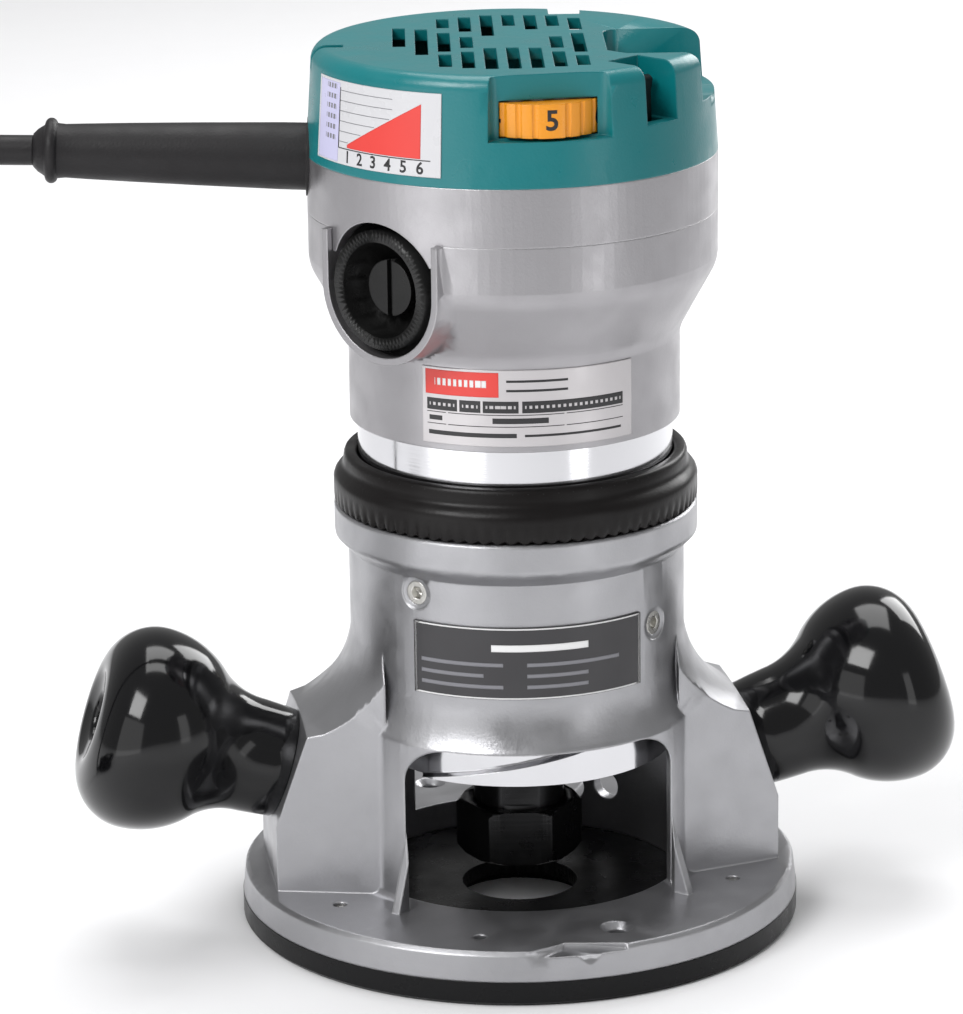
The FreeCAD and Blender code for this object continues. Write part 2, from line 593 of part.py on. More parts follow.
def make_ears(name, play):
    """The points where the upper ring reaches down beside each brush boss."""
    ears = []
    for index, angle in enumerate(BRUSH_ANGLES):
        for side in (-1, 1):
            label = f"{name}_{index}_{'left' if side < 0 else 'right'}"
            top = f"seam_height - brush_height + {play if play else 2}"
            tip = milled(label, [
                (f"{side} * 9", top), (f"{side} * 9", f"7.5 - {play}"),
                (f"{side} * (brush_boss_radius - 0.1 + {play})", f"7.5 - {play}"),
                (f"{side} * (brush_boss_radius - 0.1 + {play})", top)],
                "head_radius - head_wall - 4", "12")
            placed(tip, outward(angle, "0", "brush_height"))
            ears.append(tip)
    return ears


def make_housing_ring():
    """The ring between the motor housing and the cover, with the upper bearing's spider."""
    rim = turned("ring_rim", [
        ("head_radius - head_wall", "seam_height"), ("head_radius", "seam_height"),
        ("head_radius", "ring_top"), ("head_radius - head_wall", "ring_top")])
    hub = cylinder("ring_hub", "upper_bearing_radius + 3", "upper_bearing_height + 2",
                   z="upper_bearing_bottom - 1")
    arms = around("ring_arms", (45, 135, 225, 315), lambda name: box(
        name, ("-5", "5"), ("-head_radius + head_wall - 0.5", "-upper_bearing_radius - 1"),
        ("upper_bearing_bottom", "upper_bearing_bottom + 3")))
    lugs = around("ring_lugs", STUD_ANGLES, lambda name: box(
        name, ("-stud_lug_half", "stud_lug_half"),
        ("-head_radius + head_wall - 0.5", "-stud_lug_reach"),
        ("seam_height", "ring_top")))
    wall = turned("ear_wall", [
        ("head_radius - head_wall", "seam_height - 10"), ("head_radius", "seam_height - 10"),
        ("head_radius", "seam_height + 3"), ("head_radius - head_wall", "seam_height + 3")])
    ears = common("ring_ears", wall, fuse("ring_ear_tips", *make_ears("ring_ears", 0)))
    solid = fuse("ring_solid", rim, hub, arms, lugs, ears)
    seat = fuse("ring_seat",
                cylinder("ring_seat_bore", "upper_bearing_radius", "20",
                         z="upper_bearing_bottom"),
                cylinder("ring_shaft_hole", "upper_shaft_radius + 3", "20",
                         z="upper_bearing_bottom - 10"))
    clearances = [placed(cylinder(f"ring_boss_clearance_{index}", "brush_boss_radius + 0.1", "30"),
                         outward(angle, "30", "brush_height"))
                  for index, angle in enumerate(BRUSH_ANGLES)]
    studs = around("ring_stud_holes", STUD_ANGLES, lambda name: cylinder(
        name, "stud_radius + 0.05", "30", y="-stud_circle", z="seam_height - 5"))
    keep("housing_ring", cut("ring_machined", solid, seat, *clearances, studs,
                             guard_hole("ring_cord_hole")), MOTOR)


def guard_hole(name):
    return placed(cylinder(name, "guard_root_radius + 0.05", "20", z="-4"),
                  outward(-90, "guard_foot", "guard_height", size("guard_tilt")))


# vent slots: column counted from the dial's left, then each slot's two ends along Y
VENTS = (
    (-5, ((-6.7, 19.6),)), (-4, ((-18.3, 17.6),)),
    (-3, ((19.1, 32.3), (-14.3, 12.3), (-34.8, -18.1))),
    (-2, ((13.5, 34.5), (-9.5, 6.0), (-37.0, -14.5))),
    (-1, ((7.0, 37.0), (-38.5, -10.0))), (0, ((21.1, 37.1), (-38.5, -9.8))),
    (1, ((15.5, 36.5), (-38.0, -10.5))),
    (2, ((20.0, 35.5), (-11.0, 5.0), (-36.5, -16.0))),
    (3, ((14.2, 31.6), (-17.1, 9.4), (-35.0, -21.5))),
)


def cover_solid(name, inset):
    """The cover's outer shape filled in, drawn in from its skin by an inset."""
    return turned(name, [
        ("0", "ring_top"), (f"head_radius - {inset}", "ring_top"),
        (f"cover_rim_radius - {inset}", "cover_rim_height"),
        (f"cover_rim_radius - cover_edge - {inset}", f"cover_top - {inset}", "cover_edge"),
        ("0", f"cover_top - {inset}")])


def make_top_cover():
    skin = cut("cover_skin", cover_solid("cover_outside", "0"),
               cover_solid("cover_hollow", "cover_wall"))
    dial_block = placed(box("dial_block", ("-18.5", "18.5"),
                            ("-dial_recess_back - 0.5", "-dial_recess_back + 2.6"),
                            ("dial_recess_floor - 2.5", "cover_top - 1")),
                        about_axis(size("dial_angle")))
    switch_block = placed(box("switch_block", ("-switch_slot_width / 2 - 2",
                                               "switch_slot_width / 2 + 2"),
                              ("-head_radius", "-switch_slot_back + 2"),
                              ("switch_slot_floor - 2.5", "cover_top - 1")),
                          about_axis(size("switch_angle")))
    pocket_block = box("pocket_block", ("pocket_left - 2.5", "head_radius"),
                       ("pocket_front - 2.5", "pocket_rear + 2.5"),
                       ("pocket_floor - 2.5", "cover_top - 1"))
    pillars = around("cover_pillars", STUD_ANGLES, lambda name: box(
        name, ("-stud_lug_half", "stud_lug_half"), ("-head_radius + 2", "-stud_lug_reach"),
        ("ring_top", "ring_top + 10.8")))
    blocks = common("cover_blocks", cover_solid("cover_block_limit", "0.5"),
                    fuse("cover_block_set", dial_block, switch_block, pocket_block, pillars))
    solid = fuse("cover_solid", skin, blocks)

    recess = placed(milled("dial_recess", [
        ("-dial_recess_half - 4", "-head_radius - 3"), ("dial_recess_half + 4", "-head_radius - 3"),
        ("dial_recess_half", "-dial_recess_back"), ("-dial_recess_half", "-dial_recess_back")],
        "dial_recess_floor", "30"), about_axis(size("dial_angle")))
    wheel_slot = placed(cylinder("dial_slot", "dial_radius + 0.5", "dial_height + 0.9",
                                 y="-dial_centre", z="dial_bottom - 0.4"),
                        about_axis(size("dial_angle")))
    slot = placed(box("switch_slot", ("-switch_slot_width / 2", "switch_slot_width / 2"),
                      ("-60", "-switch_slot_back"), ("switch_slot_floor", "cover_top + 2")),
                  about_axis(size("switch_angle")))
    lever_hole = placed(box("switch_lever_hole", ("-4", "4"), ("-47.5", "-38.5"),
                            ("switch_slot_floor - 5", "switch_slot_floor + 1")),
                        about_axis(size("switch_angle")))
    pocket = milled("cover_pocket", [
        ("pocket_left + 4.5", "pocket_front"), ("70", "pocket_front"), ("70", "pocket_rear"),
        ("pocket_left + 4.5", "pocket_rear"), ("pocket_left", "pocket_rear - 4.5", "4.5"),
        ("pocket_left", "pocket_front + 4.5"), ], "pocket_floor", "30")
    vents = []
    for column, ends in VENTS:
        for index, (front, back) in enumerate(ends):
            vents.append(box(f"vent_{column + 5}_{index}",
                             (f"{column} * vent_pitch - vent_width / 2",
                              f"{column} * vent_pitch + vent_width / 2"),
                             (front, back), ("cover_top - cover_wall - 1", "cover_top + 1")))
    notch = box("cord_side_slot", ("-head_radius - 2", "-42"), ("-6", "-2.4"),
                ("cover_rim_height - 2", "cover_top + 1"))
    rear_notch = box("rear_notch", ("10.7", "19"), ("cover_rim_radius - 12.8", "60"),
                     ("cover_top - cover_wall - 3", "cover_top + 1"))
    studs = around("cover_stud_holes", STUD_ANGLES, lambda name: cylinder(
        name, "stud_radius + 0.05", "9.5", y="-stud_circle", z="ring_top - 1"))
    keep("top_cover", cut("cover_machined", solid, recess, wheel_slot, slot, lever_hole, pocket,
                          fuse("vent_set", *vents), notch, rear_notch, studs,
                          guard_hole("cover_cord_hole")), MOTOR)


def make_studs():
    """Long screws from the motor housing through the ring into the cover."""
    keep("housing_screws", around("housing_screw", STUD_ANGLES, lambda name: fuse(
        name, cylinder(f"{name}_shank", "stud_radius", "ring_top - seam_height + 16.5",
                       y="-stud_circle", z="seam_height - 8.6"),
        cylinder(f"{name}_head", "stud_head_radius", "2.6", y="-stud_circle",
                 z="seam_height - 11.2"))), MOTOR)


# ---------------------------------------------------------------- controls
def make_dial():
    wheel = cylinder("dial_disc", "dial_radius", "dial_height", z="dial_bottom")
    flutes = [cylinder(f"dial_flute_{step}", "1", "dial_height + 2",
                       x=f"(dial_radius + 0.55) * sin({step})",
                       y=f"-(dial_radius + 0.55) * cos({step})", z="dial_bottom - 1")
              for step in range(15, 360, 15)]
    bore = cylinder("dial_bore", "dial_shaft_radius + 0.03", "dial_height + 2",
                    z="dial_bottom - 1")
    place = MOTOR.multiply(about_axis(size("dial_angle"))).multiply(
        Placement(Vector(0, -size("dial_centre"), 0), Rotation()))
    keep("speed_dial", cut("dial_wheel", wheel, *flutes, bore), place)
    pot = fuse("pot_body",
               box("pot_case", ("-8", "8"), ("-8", "8"), ("ring_top + 1.8", "ring_top + 7.8")),
               cylinder("pot_bush", "4.5", "2.5", z="ring_top + 7.8"),
               cylinder("pot_shaft", "dial_shaft_radius",
                        "dial_bottom + dial_height - ring_top - 8.3", z="ring_top + 7.8"))
    keep("speed_potentiometer", pot, place)


def make_switch():
    place = MOTOR.multiply(about_axis(size("switch_angle")))
    axle = Placement(Vector(0, -size("switch_pivot_reach"), size("ring_top + 8.3")),
                     Rotation(Vector(0, 1, 0), 90))
    body = cut("switch_case",
               box("switch_block_body", ("-8", "8"), ("-46.5", "-26"),
                   ("ring_top + 1", "ring_top + 10")),
               box("switch_well", ("-3.6", "3.6"), ("-46", "-39.5"),
                   ("ring_top + 4.8", "ring_top + 10.8")),
               placed(cylinder("switch_axle_hole", "switch_pivot_radius + 0.05", "9.8", z="-4.9"),
                      axle))
    keep("power_switch", body, place)
    lever, sketch = sketched("switch_lever_body", "YZ_Plane", [
        ("-44.4", "209.6"), ("-41.2", "209.6"), ("-41.8", "222.4"), ("-41.4", "225.6"),
        ("-44.6", "225.6", "1.8"), ("-44", "222.4")])
    feature = lever.newObject("PartDesign::Pad", "switch_lever_pad")
    feature.Profile = sketch
    feature.Midplane = True
    bind(feature, Length="6.4")
    pin = placed(cylinder("switch_axle", "switch_pivot_radius", "9.6", z="-4.8"), axle)
    keep("switch_lever", fuse("switch_lever_solid", lever, pin), place)


def make_controller():
    board = box("board", ("-36", "-4"), ("-2", "23.5"), ("ring_top + 1.4", "ring_top + 3"))
    parts = [box(f"board_part_{index}", (x, f"{x} + {width}"), (y, f"{y} + {depth}"),
                 ("ring_top + 3", f"ring_top + 3 + {height}"))
             for index, (x, y, width, depth, height) in enumerate((
                 (-34, 1, 10, 8, 8), (-20, 2, 7, 7, 10), (-34, 13, 14, 9, 6), (-15, 13, 8, 9, 7)))]
    keep("speed_controller", fuse("controller_body", board, *parts), MOTOR)


# ---------------------------------------------------------------- brush gear
def make_brush_gear():
    floor = "brush_recess_floor"
    holders, caps, brushes, springs = [], [], [], []
    for index, angle in enumerate(BRUSH_ANGLES):
        axis = outward(angle, "0", "brush_height")
        holder = cut(
            f"brush_holder_{index}",
            fuse(f"brush_holder_body_{index}",
                 cylinder(f"brush_tube_{index}", "brush_tube_radius", "brush_boss_face - 34",
                          z="34"),
                 cylinder(f"brush_flange_{index}", "brush_boss_radius - 0.05", "1.2",
                          z="brush_notch_floor"),
                 box(f"brush_guide_{index}", ("-brush_width / 2 - 2", "brush_width / 2 + 2"),
                     ("-brush_height_size / 2 - 2", "brush_height_size / 2 + 2"), ("18", "35"))),
            box(f"brush_channel_{index}", ("-brush_width / 2 - 0.1", "brush_width / 2 + 0.1"),
                ("-brush_height_size / 2 - 0.1", "brush_height_size / 2 + 0.1"), ("10", "39")),
            cylinder(f"brush_recess_{index}", "brush_recess_radius", "20", z=floor),
            cylinder(f"brush_thread_{index}", "brush_cap_radius + 0.05", "10", z="38"))
        holders.append(placed(holder, axis))
        cap = cut(f"brush_cap_{index}",
                  cylinder(f"brush_cap_body_{index}", "brush_cap_radius", f"{floor} + 3 - 38.2",
                           z="38.2"),
                  box(f"brush_cap_slot_{index}", ("-0.8", "0.8"),
                      ("-brush_cap_radius - 1", "brush_cap_radius + 1"),
                      (f"{floor} + 1.4", f"{floor} + 5")))
        caps.append(placed(cap, outward(angle, "0", "brush_height")))
        brush = box(f"carbon_brush_{index}", ("-brush_width / 2", "brush_width / 2"),
                    ("-brush_height_size / 2", "brush_height_size / 2"),
                    ("commutator_radius + 0.3", "29"))
        brushes.append(placed(brush, outward(angle, "0", "brush_height")))
        springs.append(spring(f"brush_spring_{index}",
                              outward(angle, "29.5", "brush_height")))
    for name, items in (("brush_holders", holders), ("brush_caps", caps),
                        ("carbon_brushes", brushes), ("brush_springs", springs)):
        keep(name, group(f"{name}_pair", *items), MOTOR)


def spring(name, place):
    """A brush spring, drawn as a sleeve of the spring's outer size."""
    return placed(cut(name, cylinder(f"{name}_outside", "spring_radius", "spring_length"),
                      cylinder(f"{name}_inside", "spring_radius - 0.8", "spring_length + 2",
                               z="-1")), place)


# ---------------------------------------------------------------- stator, armature, spindle
def make_stator():
    outer = "motor_radius - motor_wall - 0.05"
    inner = "core_radius + air_gap"
    core = turned("stator_core_turning", [
        (inner, "core_bottom"), (outer, "core_bottom"), (outer, "core_top"), (inner, "core_top")])
    keep("stator_core", core, MOTOR)
    ends = []
    for index, (low, high) in enumerate((("core_bottom - 8", "core_bottom"),
                                         ("core_top", "core_top + 9"))):
        ring = turned(f"stator_winding_{index}", [
            (f"{inner} + 3", low), ("33", low), ("34.5", f"{low} + 2"), ("34.5", f"{high} - 2"),
            ("33", high), (f"{inner} + 3", high)])
        gap = box(f"stator_gap_{index}", ("-40", "40"), ("-4", "4"),
                  (f"{low} - 1", f"{high} + 1"))
        ends.append(cut(f"stator_coil_{index}", ring, gap))
    keep("stator_windings", group("stator_winding_pair", *ends), MOTOR)


def make_armature():
    core = cut("armature_stack",
               cylinder("armature_round", "core_radius", "core_top - core_bottom",
                        z="core_bottom"),
               around("armature_slots", range(0, 360, 30), lambda name: box(
                   name, ("-1.4", "1.4"), ("-core_radius - 1", "-core_radius + 7"),
                   ("core_bottom - 1", "core_top + 1"))),
               cylinder("armature_bore", "shaft_radius", "core_top - core_bottom + 2",
                        z="core_bottom - 1"))
    keep("armature_core", core, MOTOR)
    coils = [turned(f"armature_coil_{index}", [
        ("shaft_radius", low), ("15", low), ("19", f"{low} + 3", "4.5"), ("19", f"{high} - 2"),
        ("17", high), ("shaft_radius", high)])
        for index, (low, high) in enumerate((("core_bottom - 9", "core_bottom"),
                                             ("core_top", "core_top + 12")))]
    keep("armature_windings", group("armature_coil_pair", *coils), MOTOR)
    middle = "brush_height - commutator_height / 2"
    bars = cut("commutator_bars",
               cylinder("commutator_round", "commutator_radius", "commutator_height", z=middle),
               cylinder("commutator_bore", "shaft_radius - 2", "commutator_height + 2",
                        z=f"{middle} - 1"),
               around("commutator_slots", range(0, 360, 15), lambda name: box(
                   name, ("-0.3", "0.3"), ("-commutator_radius - 1", "-commutator_radius + 1.2"),
                   (f"{middle} - 1", f"{middle} + commutator_height + 1"))))
    keep("commutator", bars, MOTOR)


def make_spindle():
    """The shaft from the collet's nose up to the upper bearing."""
    nose_top = "motor_bottom + motor_floor - lower_bearing_height - 0.5"
    bore_top = "nut_bottom + nut_height + 17"
    shaft = turned("spindle_turning", [
        ("0", f"{bore_top}"), ("collet_outer_radius - 1.29", f"{bore_top}"),
        ("collet_outer_radius + 0.05", "nut_bottom + 3"), ("nose_radius", "nut_bottom + 3"),
        ("nose_radius", f"{nose_top} - 1.5"), ("shaft_radius + 2.2", f"{nose_top}"),
        ("shaft_radius", f"{nose_top}"), ("shaft_radius", "core_top + 12"),
        ("shaft_radius - 2", "core_top + 12"),
        ("shaft_radius - 2", "brush_height + commutator_height / 2 + 1"),
        ("upper_shaft_radius", "brush_height + commutator_height / 2 + 3"),
        ("upper_shaft_radius", "upper_bearing_bottom + upper_bearing_height"),
        ("0", "upper_bearing_bottom + upper_bearing_height")])
    flats = [box(f"spindle_flat_{side}", ("-15", "15"),
                 ("11" if side > 0 else "-16", "16" if side > 0 else "-11"), ("31", "39"))
             for side in (-1, 1)]
    keep("spindle", cut("spindle_machined", shaft, *flats), MOTOR)


def bearing(name, bore, outer, width, z):
    """A ball bearing drawn closed, with its shields set back between the races."""
    body = turned(f"{name}_turning", [
        (bore, z), (f"{bore} + 1.8", z), (f"{bore} + 1.8", f"{z} + 0.6"),
        (f"{outer} - 2", f"{z} + 0.6"), (f"{outer} - 2", z), (outer, z),
        (outer, f"{z} + {width}"), (f"{outer} - 2", f"{z} + {width}"),
        (f"{outer} - 2", f"{z} + {width} - 0.6"), (f"{bore} + 1.8", f"{z} + {width} - 0.6"),
        (f"{bore} + 1.8", f"{z} + {width}"), (bore, f"{z} + {width}")])
    keep(name, body, MOTOR)


def make_fan():
    hub = cylinder("fan_hub", "shaft_radius + 4", "fan_height", z="fan_bottom")
    disc = cylinder("fan_disc", "fan_radius", "1.6", z="fan_bottom + fan_height - 1.6")
    blades = around("fan_blades", range(0, 360, 30), lambda name: placed(
        box(name, ("-0.8", "0.8"), ("-fan_radius + 0.3", "-shaft_radius - 3"),
            ("fan_bottom", "fan_bottom + fan_height - 1")), Placement()))
    bore = cylinder("fan_bore", "shaft_radius", "fan_height + 2", z="fan_bottom - 1")
    keep("cooling_fan", cut("fan_wheel", fuse("fan_solid", hub, disc, blades), bore), MOTOR)
    baffle = turned("fan_baffle_turning", [
        ("core_radius + 2.5", "fan_bottom + fan_height + 1"),
        ("motor_radius - motor_wall - 0.05", "fan_bottom + fan_height + 1"),
        ("motor_radius - motor_wall - 0.05", "fan_bottom + fan_height + 3.5"),
        ("core_radius + 2.5", "fan_bottom + fan_height + 3.5")])
    keep("fan_baffle", baffle, MOTOR)


def make_collet():
    low, high = "nut_bottom + 3", "nut_bottom + nut_height + 15"
    cone_body = turned("collet_turning", [
        ("collet_radius", "nut_bottom + 0.6"), ("collet_outer_radius - 1", "nut_bottom + 0.6"),
        ("collet_outer_radius", low), ("collet_outer_radius - 1.25", high),
        ("collet_radius", high)])
    slits = around("collet_slits", (0, 120, 240), lambda name: box(
        name, ("-0.4", "0.4"), ("-collet_outer_radius - 1", "-collet_radius + 1"),
        ("nut_bottom", "nut_bottom + nut_height + 9")))
    keep("collet_cone", cut("collet_sleeve", cone_body, slits), MOTOR)
    body = milled("nut_hexagon", hexagon("nut_across_flats"), "nut_bottom", "nut_height")
    corner = "nut_across_flats / sqrt(3)"
    rounding = turned("nut_rounding", [
        ("0", "nut_bottom"), (f"{corner} - 1.8", "nut_bottom"),
        (f"{corner} + 0.1", "nut_bottom + 1.6"),
        (f"{corner} + 0.1", "nut_bottom + nut_height - 1.6"),
        (f"{corner} - 1.8", "nut_bottom + nut_height"), ("0", "nut_bottom + nut_height")])
    bores = [cylinder("nut_thread", "nose_radius + 0.05", "nut_height", z="nut_bottom + 2"),
             cylinder("nut_mouth", "collet_outer_radius - 0.4", "nut_height",
                      z="nut_bottom - 1")]
    nut = cut("nut_machined", common("nut_solid", body, rounding), *bores)
    keep("collet_nut", nut, MOTOR)


# ---------------------------------------------------------------- labels, cord
def make_labels():
    keep("base_nameplate", curved_plate(
        "nameplate_body", "neck_radius + 0.02", "0.6", (-45.4, 36.2), ("70.9", "89.7")))
    keep("rating_plate", curved_plate(
        "rating_plate_body", "paint_radius + 0.02", "0.3", (-34, 41.5), ("136.4", "155.9")),
        MOTOR)
    slope = "(head_radius - cover_rim_radius) / (cover_rim_height - ring_top)"
    keep("speed_chart_label", curved_plate(
        "chart_body", f"head_radius + 0.02 - {slope} * (205.6 - ring_top)", "0.25",
        (-69.5, -21), ("205.6", "226"), slope), MOTOR)


def make_cord_guard():
    sleeve = turned("guard_turning", [
        ("0", "0"), ("guard_root_radius + 1.5", "0"), ("guard_root_radius + 1.5", "1.4"),
        ("guard_root_radius", "1.4"), ("guard_root_radius", "8"),
        ("guard_root_radius - 0.8", "36"), ("guard_tip_radius", "guard_reach - 53.6"),
        ("guard_collar_radius", "guard_reach - 52.4", "2.4"),
        ("guard_collar_radius", "guard_reach - 48.6"),
        ("guard_tip_radius", "guard_reach - 46", "3"), ("0", "guard_reach - 46")])
    place = MOTOR.multiply(outward(-90, "guard_foot", "guard_height", size("guard_tilt")))
    keep("cord_guard", sleeve, place)
    clamp = cut("cord_clamp_body",
                box("cord_clamp_block", ("-9", "9"), ("-45", "-35"), ("ring_top - 7.2", "ring_top - 0.2")),
                placed(cylinder("cord_clamp_channel", "cord_radius", "30", z="-2"),
                       outward(0, "30", "ring_top")))
    keep("cord_clamp", clamp, MOTOR.multiply(about_axis(-90)))


def tube_path(points):
    """Straight runs joined by tangent arcs, each as large as its two runs allow."""
    edges, radii = [], []
    here = points[0]
    for before, corner, after in zip(points, points[1:], points[2:]):
        into, away = corner - before, after - corner
        shorter = min(into.Length, away.Length)
        turn = into.getAngle(away)
        reach = 0.45 * shorter
        radii.append(reach / math.tan(turn / 2))
        start = corner - into.normalize() * reach
        end = corner + away.normalize() * reach
        bisector = ((start + end) * 0.5 - corner).normalize()
        depth = radii[-1] * (1 / math.cos(turn / 2) - 1)
        edges.append(Part.LineSegment(here, start).toShape())
        edges.append(Part.Arc(start, corner + bisector * depth, end).toShape())
        here = end
    edges.append(Part.LineSegment(here, points[-1]).toShape())
    return Part.Wire(edges), radii


def make_cord():
    radius = size("cord_radius")
    path, radii = tube_path([Vector(*point) for point in CORD_ROUTE])
    first = Vector(*CORD_ROUTE[1]) - Vector(*CORD_ROUTE[0])
    section = Part.Wire(Part.makeCircle(radius, Vector(*CORD_ROUTE[0]), first))
    tube = doc.addObject("Part::Feature", "power_cord_tube")
    tube.Shape = path.makePipeShell([section], True, False)
    keep("power_cord", tube)
    expected = math.pi * radius ** 2 * path.Length
    print("cord arc radii:", [round(value, 1) for value in radii])
    print(f"cord length {path.Length:.1f}, volume ratio {tube.Shape.Volume / expected:.4f}")


def make_coil():
    """The put-away cord as one ring, its tie, and the plug lying on top of it."""
    centre = Vector(*COIL_CENTRE, 0)
    coil = turned("cord_coil_turning", [
        ("coil_inner_radius", "coil_floor"), ("coil_outer_radius", "coil_floor"),
        ("coil_outer_radius", "coil_floor + coil_height"),
        ("coil_inner_radius", "coil_floor + coil_height")])
    keep("cord_coil", coil, Placement(centre, Rotation()))
    tie = cut("cord_tie_band",
              box("cord_tie_block", ("coil_inner_radius - 1.3", "coil_outer_radius + 1"),
                  ("-4", "4"), ("0.1", "coil_floor + coil_height + 0.9")),
              box("cord_tie_hole", ("coil_inner_radius - 0.5", "coil_outer_radius + 0.2"),
                  ("-5", "5"), ("coil_floor - 0.1", "coil_floor + coil_height + 0.1")))
    keep("cord_tie", tie, Placement(centre, Rotation(Vector(0, 0, 1), TIE_ANGLE)))
    rest = "coil_floor + coil_height + 0.3"
    body = fuse("plug_shell",
                box("plug_block", ("-13", "13"), ("-9", "27"), (rest, f"{rest} + 17")),
                placed(cone("plug_tail", "6.5", "5", "16"),
                       Placement(Vector(0, -8.5, size(rest) + 8.5),
                                 Rotation(Vector(1, 0, 0), 90))))
    turn = Rotation(Vector(0, 0, 1), PLUG_ANGLE)
    middle = turn.multVec(Vector(size("coil_inner_radius + coil_outer_radius") / 2, 0, 0))
    place = Placement(centre + middle, turn)
    keep("plug_body", body, place)
    blades = [box(f"plug_blade_{side}", (f"{6.35 * side - 0.8}", f"{6.35 * side + 0.8}"),
                  ("27", "44"), (f"{rest} + 5.3", f"{rest} + 11.7")) for side in (-1, 1)]
    keep("plug_blades", group("plug_blade_pair", *blades), place)


make_sub_base()
make_base()
make_guide_pins()
make_knob("knob_left", -90)
make_knob("knob_right", 90)
make_knob_bolts()
make_clamp()
make_depth_ring()
make_motor_housing()
make_housing_ring()
make_top_cover()
make_studs()
make_dial()
make_switch()
make_controller()
make_brush_gear()
make_stator()
make_armature()
make_spindle()
bearing("lower_bearing", "shaft_radius + 0.02", "lower_bearing_radius - 0.02",
        "lower_bearing_height", "motor_bottom + motor_floor - lower_bearing_height - 0.5")
bearing("upper_bearing", "upper_shaft_radius + 0.02", "upper_bearing_radius - 0.02",
        "upper_bearing_height", "upper_bearing_bottom")
make_fan()
make_collet()
make_labels()
make_cord_guard()
make_cord()
make_coil()
doc.recompute()

failed = [item.Name for item in doc.Objects if {"Invalid", "Error"} & set(item.State)]
failed += [name for name, item in nodes.items()
           if item.Shape.isNull() or not item.Shape.isValid() or not item.Shape.Solids]
if failed:
    raise RuntimeError(f"failed to build: {failed}")

os.makedirs("parts", exist_ok=True)
for name, item in nodes.items():
    item.Shape.exportStep(f"parts/{name}.step")
print(f"{len(nodes)} nodes,", sum(len(item.Shape.Solids) for item in nodes.values()), "solids")
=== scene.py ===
"""Looks of a fixed-base router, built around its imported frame.

Metres, +Z up, the origin under the centre of the sub-base.  Angles are turns about +Z measured
from -Y, so +90 degrees is +X, the right-hand knob.
"""
import logging
import math
from dataclasses import dataclass, field
from enum import Enum

import bmesh
import bpy
from mathutils import Matrix, Vector
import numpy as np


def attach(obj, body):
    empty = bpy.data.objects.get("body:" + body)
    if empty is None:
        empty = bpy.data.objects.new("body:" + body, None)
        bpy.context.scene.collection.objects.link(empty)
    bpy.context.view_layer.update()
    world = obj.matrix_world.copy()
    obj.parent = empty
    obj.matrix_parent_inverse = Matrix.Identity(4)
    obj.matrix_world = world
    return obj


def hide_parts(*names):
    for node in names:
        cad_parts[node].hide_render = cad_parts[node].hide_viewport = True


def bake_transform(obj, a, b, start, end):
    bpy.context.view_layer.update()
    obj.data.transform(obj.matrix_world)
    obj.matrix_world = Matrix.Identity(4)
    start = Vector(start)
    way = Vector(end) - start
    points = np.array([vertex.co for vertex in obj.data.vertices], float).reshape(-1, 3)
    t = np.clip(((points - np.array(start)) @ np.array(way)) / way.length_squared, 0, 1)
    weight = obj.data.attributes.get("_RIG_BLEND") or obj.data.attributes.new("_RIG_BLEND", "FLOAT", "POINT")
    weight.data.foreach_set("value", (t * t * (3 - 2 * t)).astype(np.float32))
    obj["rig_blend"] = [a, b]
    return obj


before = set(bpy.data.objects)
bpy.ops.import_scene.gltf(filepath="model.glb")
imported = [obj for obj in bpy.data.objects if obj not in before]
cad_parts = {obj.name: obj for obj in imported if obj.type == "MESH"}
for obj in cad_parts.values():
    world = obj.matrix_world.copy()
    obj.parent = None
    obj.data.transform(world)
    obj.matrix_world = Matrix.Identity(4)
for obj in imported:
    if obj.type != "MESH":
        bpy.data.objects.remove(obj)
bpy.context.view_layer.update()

LOG = logging.getLogger("router")
MM = 0.001
MOTOR_TURN = -7.5          # degrees that the motor stands turned in its base
GROUND = (0.0, 0.0, 0.0)


# ------------------------------------------------------------------ small helpers
def polar(radius: float, angle: float, height: float) -> Vector:
    """Give a point by its radius, its angle in degrees from -Y towards +X, and its height."""
    turn = math.radians(angle)
    return Vector((radius * math.sin(turn), -radius * math.cos(turn), height))


def outward(angle: float, radius: float, height: float, tilt: float = 0.0) -> Matrix:
    """Give the frame whose Z points out from the axis and whose Y points up.

    Args:
        angle: degrees from -Y towards +X.
        radius: distance of the frame's origin from the axis.
        height: height of the frame's origin.
        tilt: degrees by which Z rises above the level.

    Returns:
        The frame as a 4x4 matrix.
    """
    turn = math.radians(angle)
    out = Vector((math.sin(turn), -math.cos(turn), 0))
    across = Vector((math.cos(turn), math.sin(turn), 0))
    basis = Matrix((across, Vector((0, 0, 1)), out)).transposed().to_4x4()
    place = Matrix.Translation(out * radius + Vector((0, 0, height)))
    return place @ basis @ Matrix.Rotation(math.radians(-tilt), 4, "X")


def new_object(name: str, bm: bmesh.types.BMesh, smooth: float = 35.0) -> bpy.types.Object:
    """Make a mesh object from a bmesh and free the bmesh.

    Args:
        name: the piece's name.
        bm: the finished mesh.
        smooth: edges that turn by more than this many degrees stay sharp.

    Returns:
        The new object, linked to the scene.
    """
    mesh = bpy.data.meshes.new(name)
    bm.to_mesh(mesh)
    bm.free()
    for polygon in mesh.polygons:
        polygon.use_smooth = True
    mesh.set_sharp_from_angle(angle=math.radians(smooth))
    item = bpy.data.objects.new(name, mesh)
    bpy.context.scene.collection.objects.link(item)
    return item


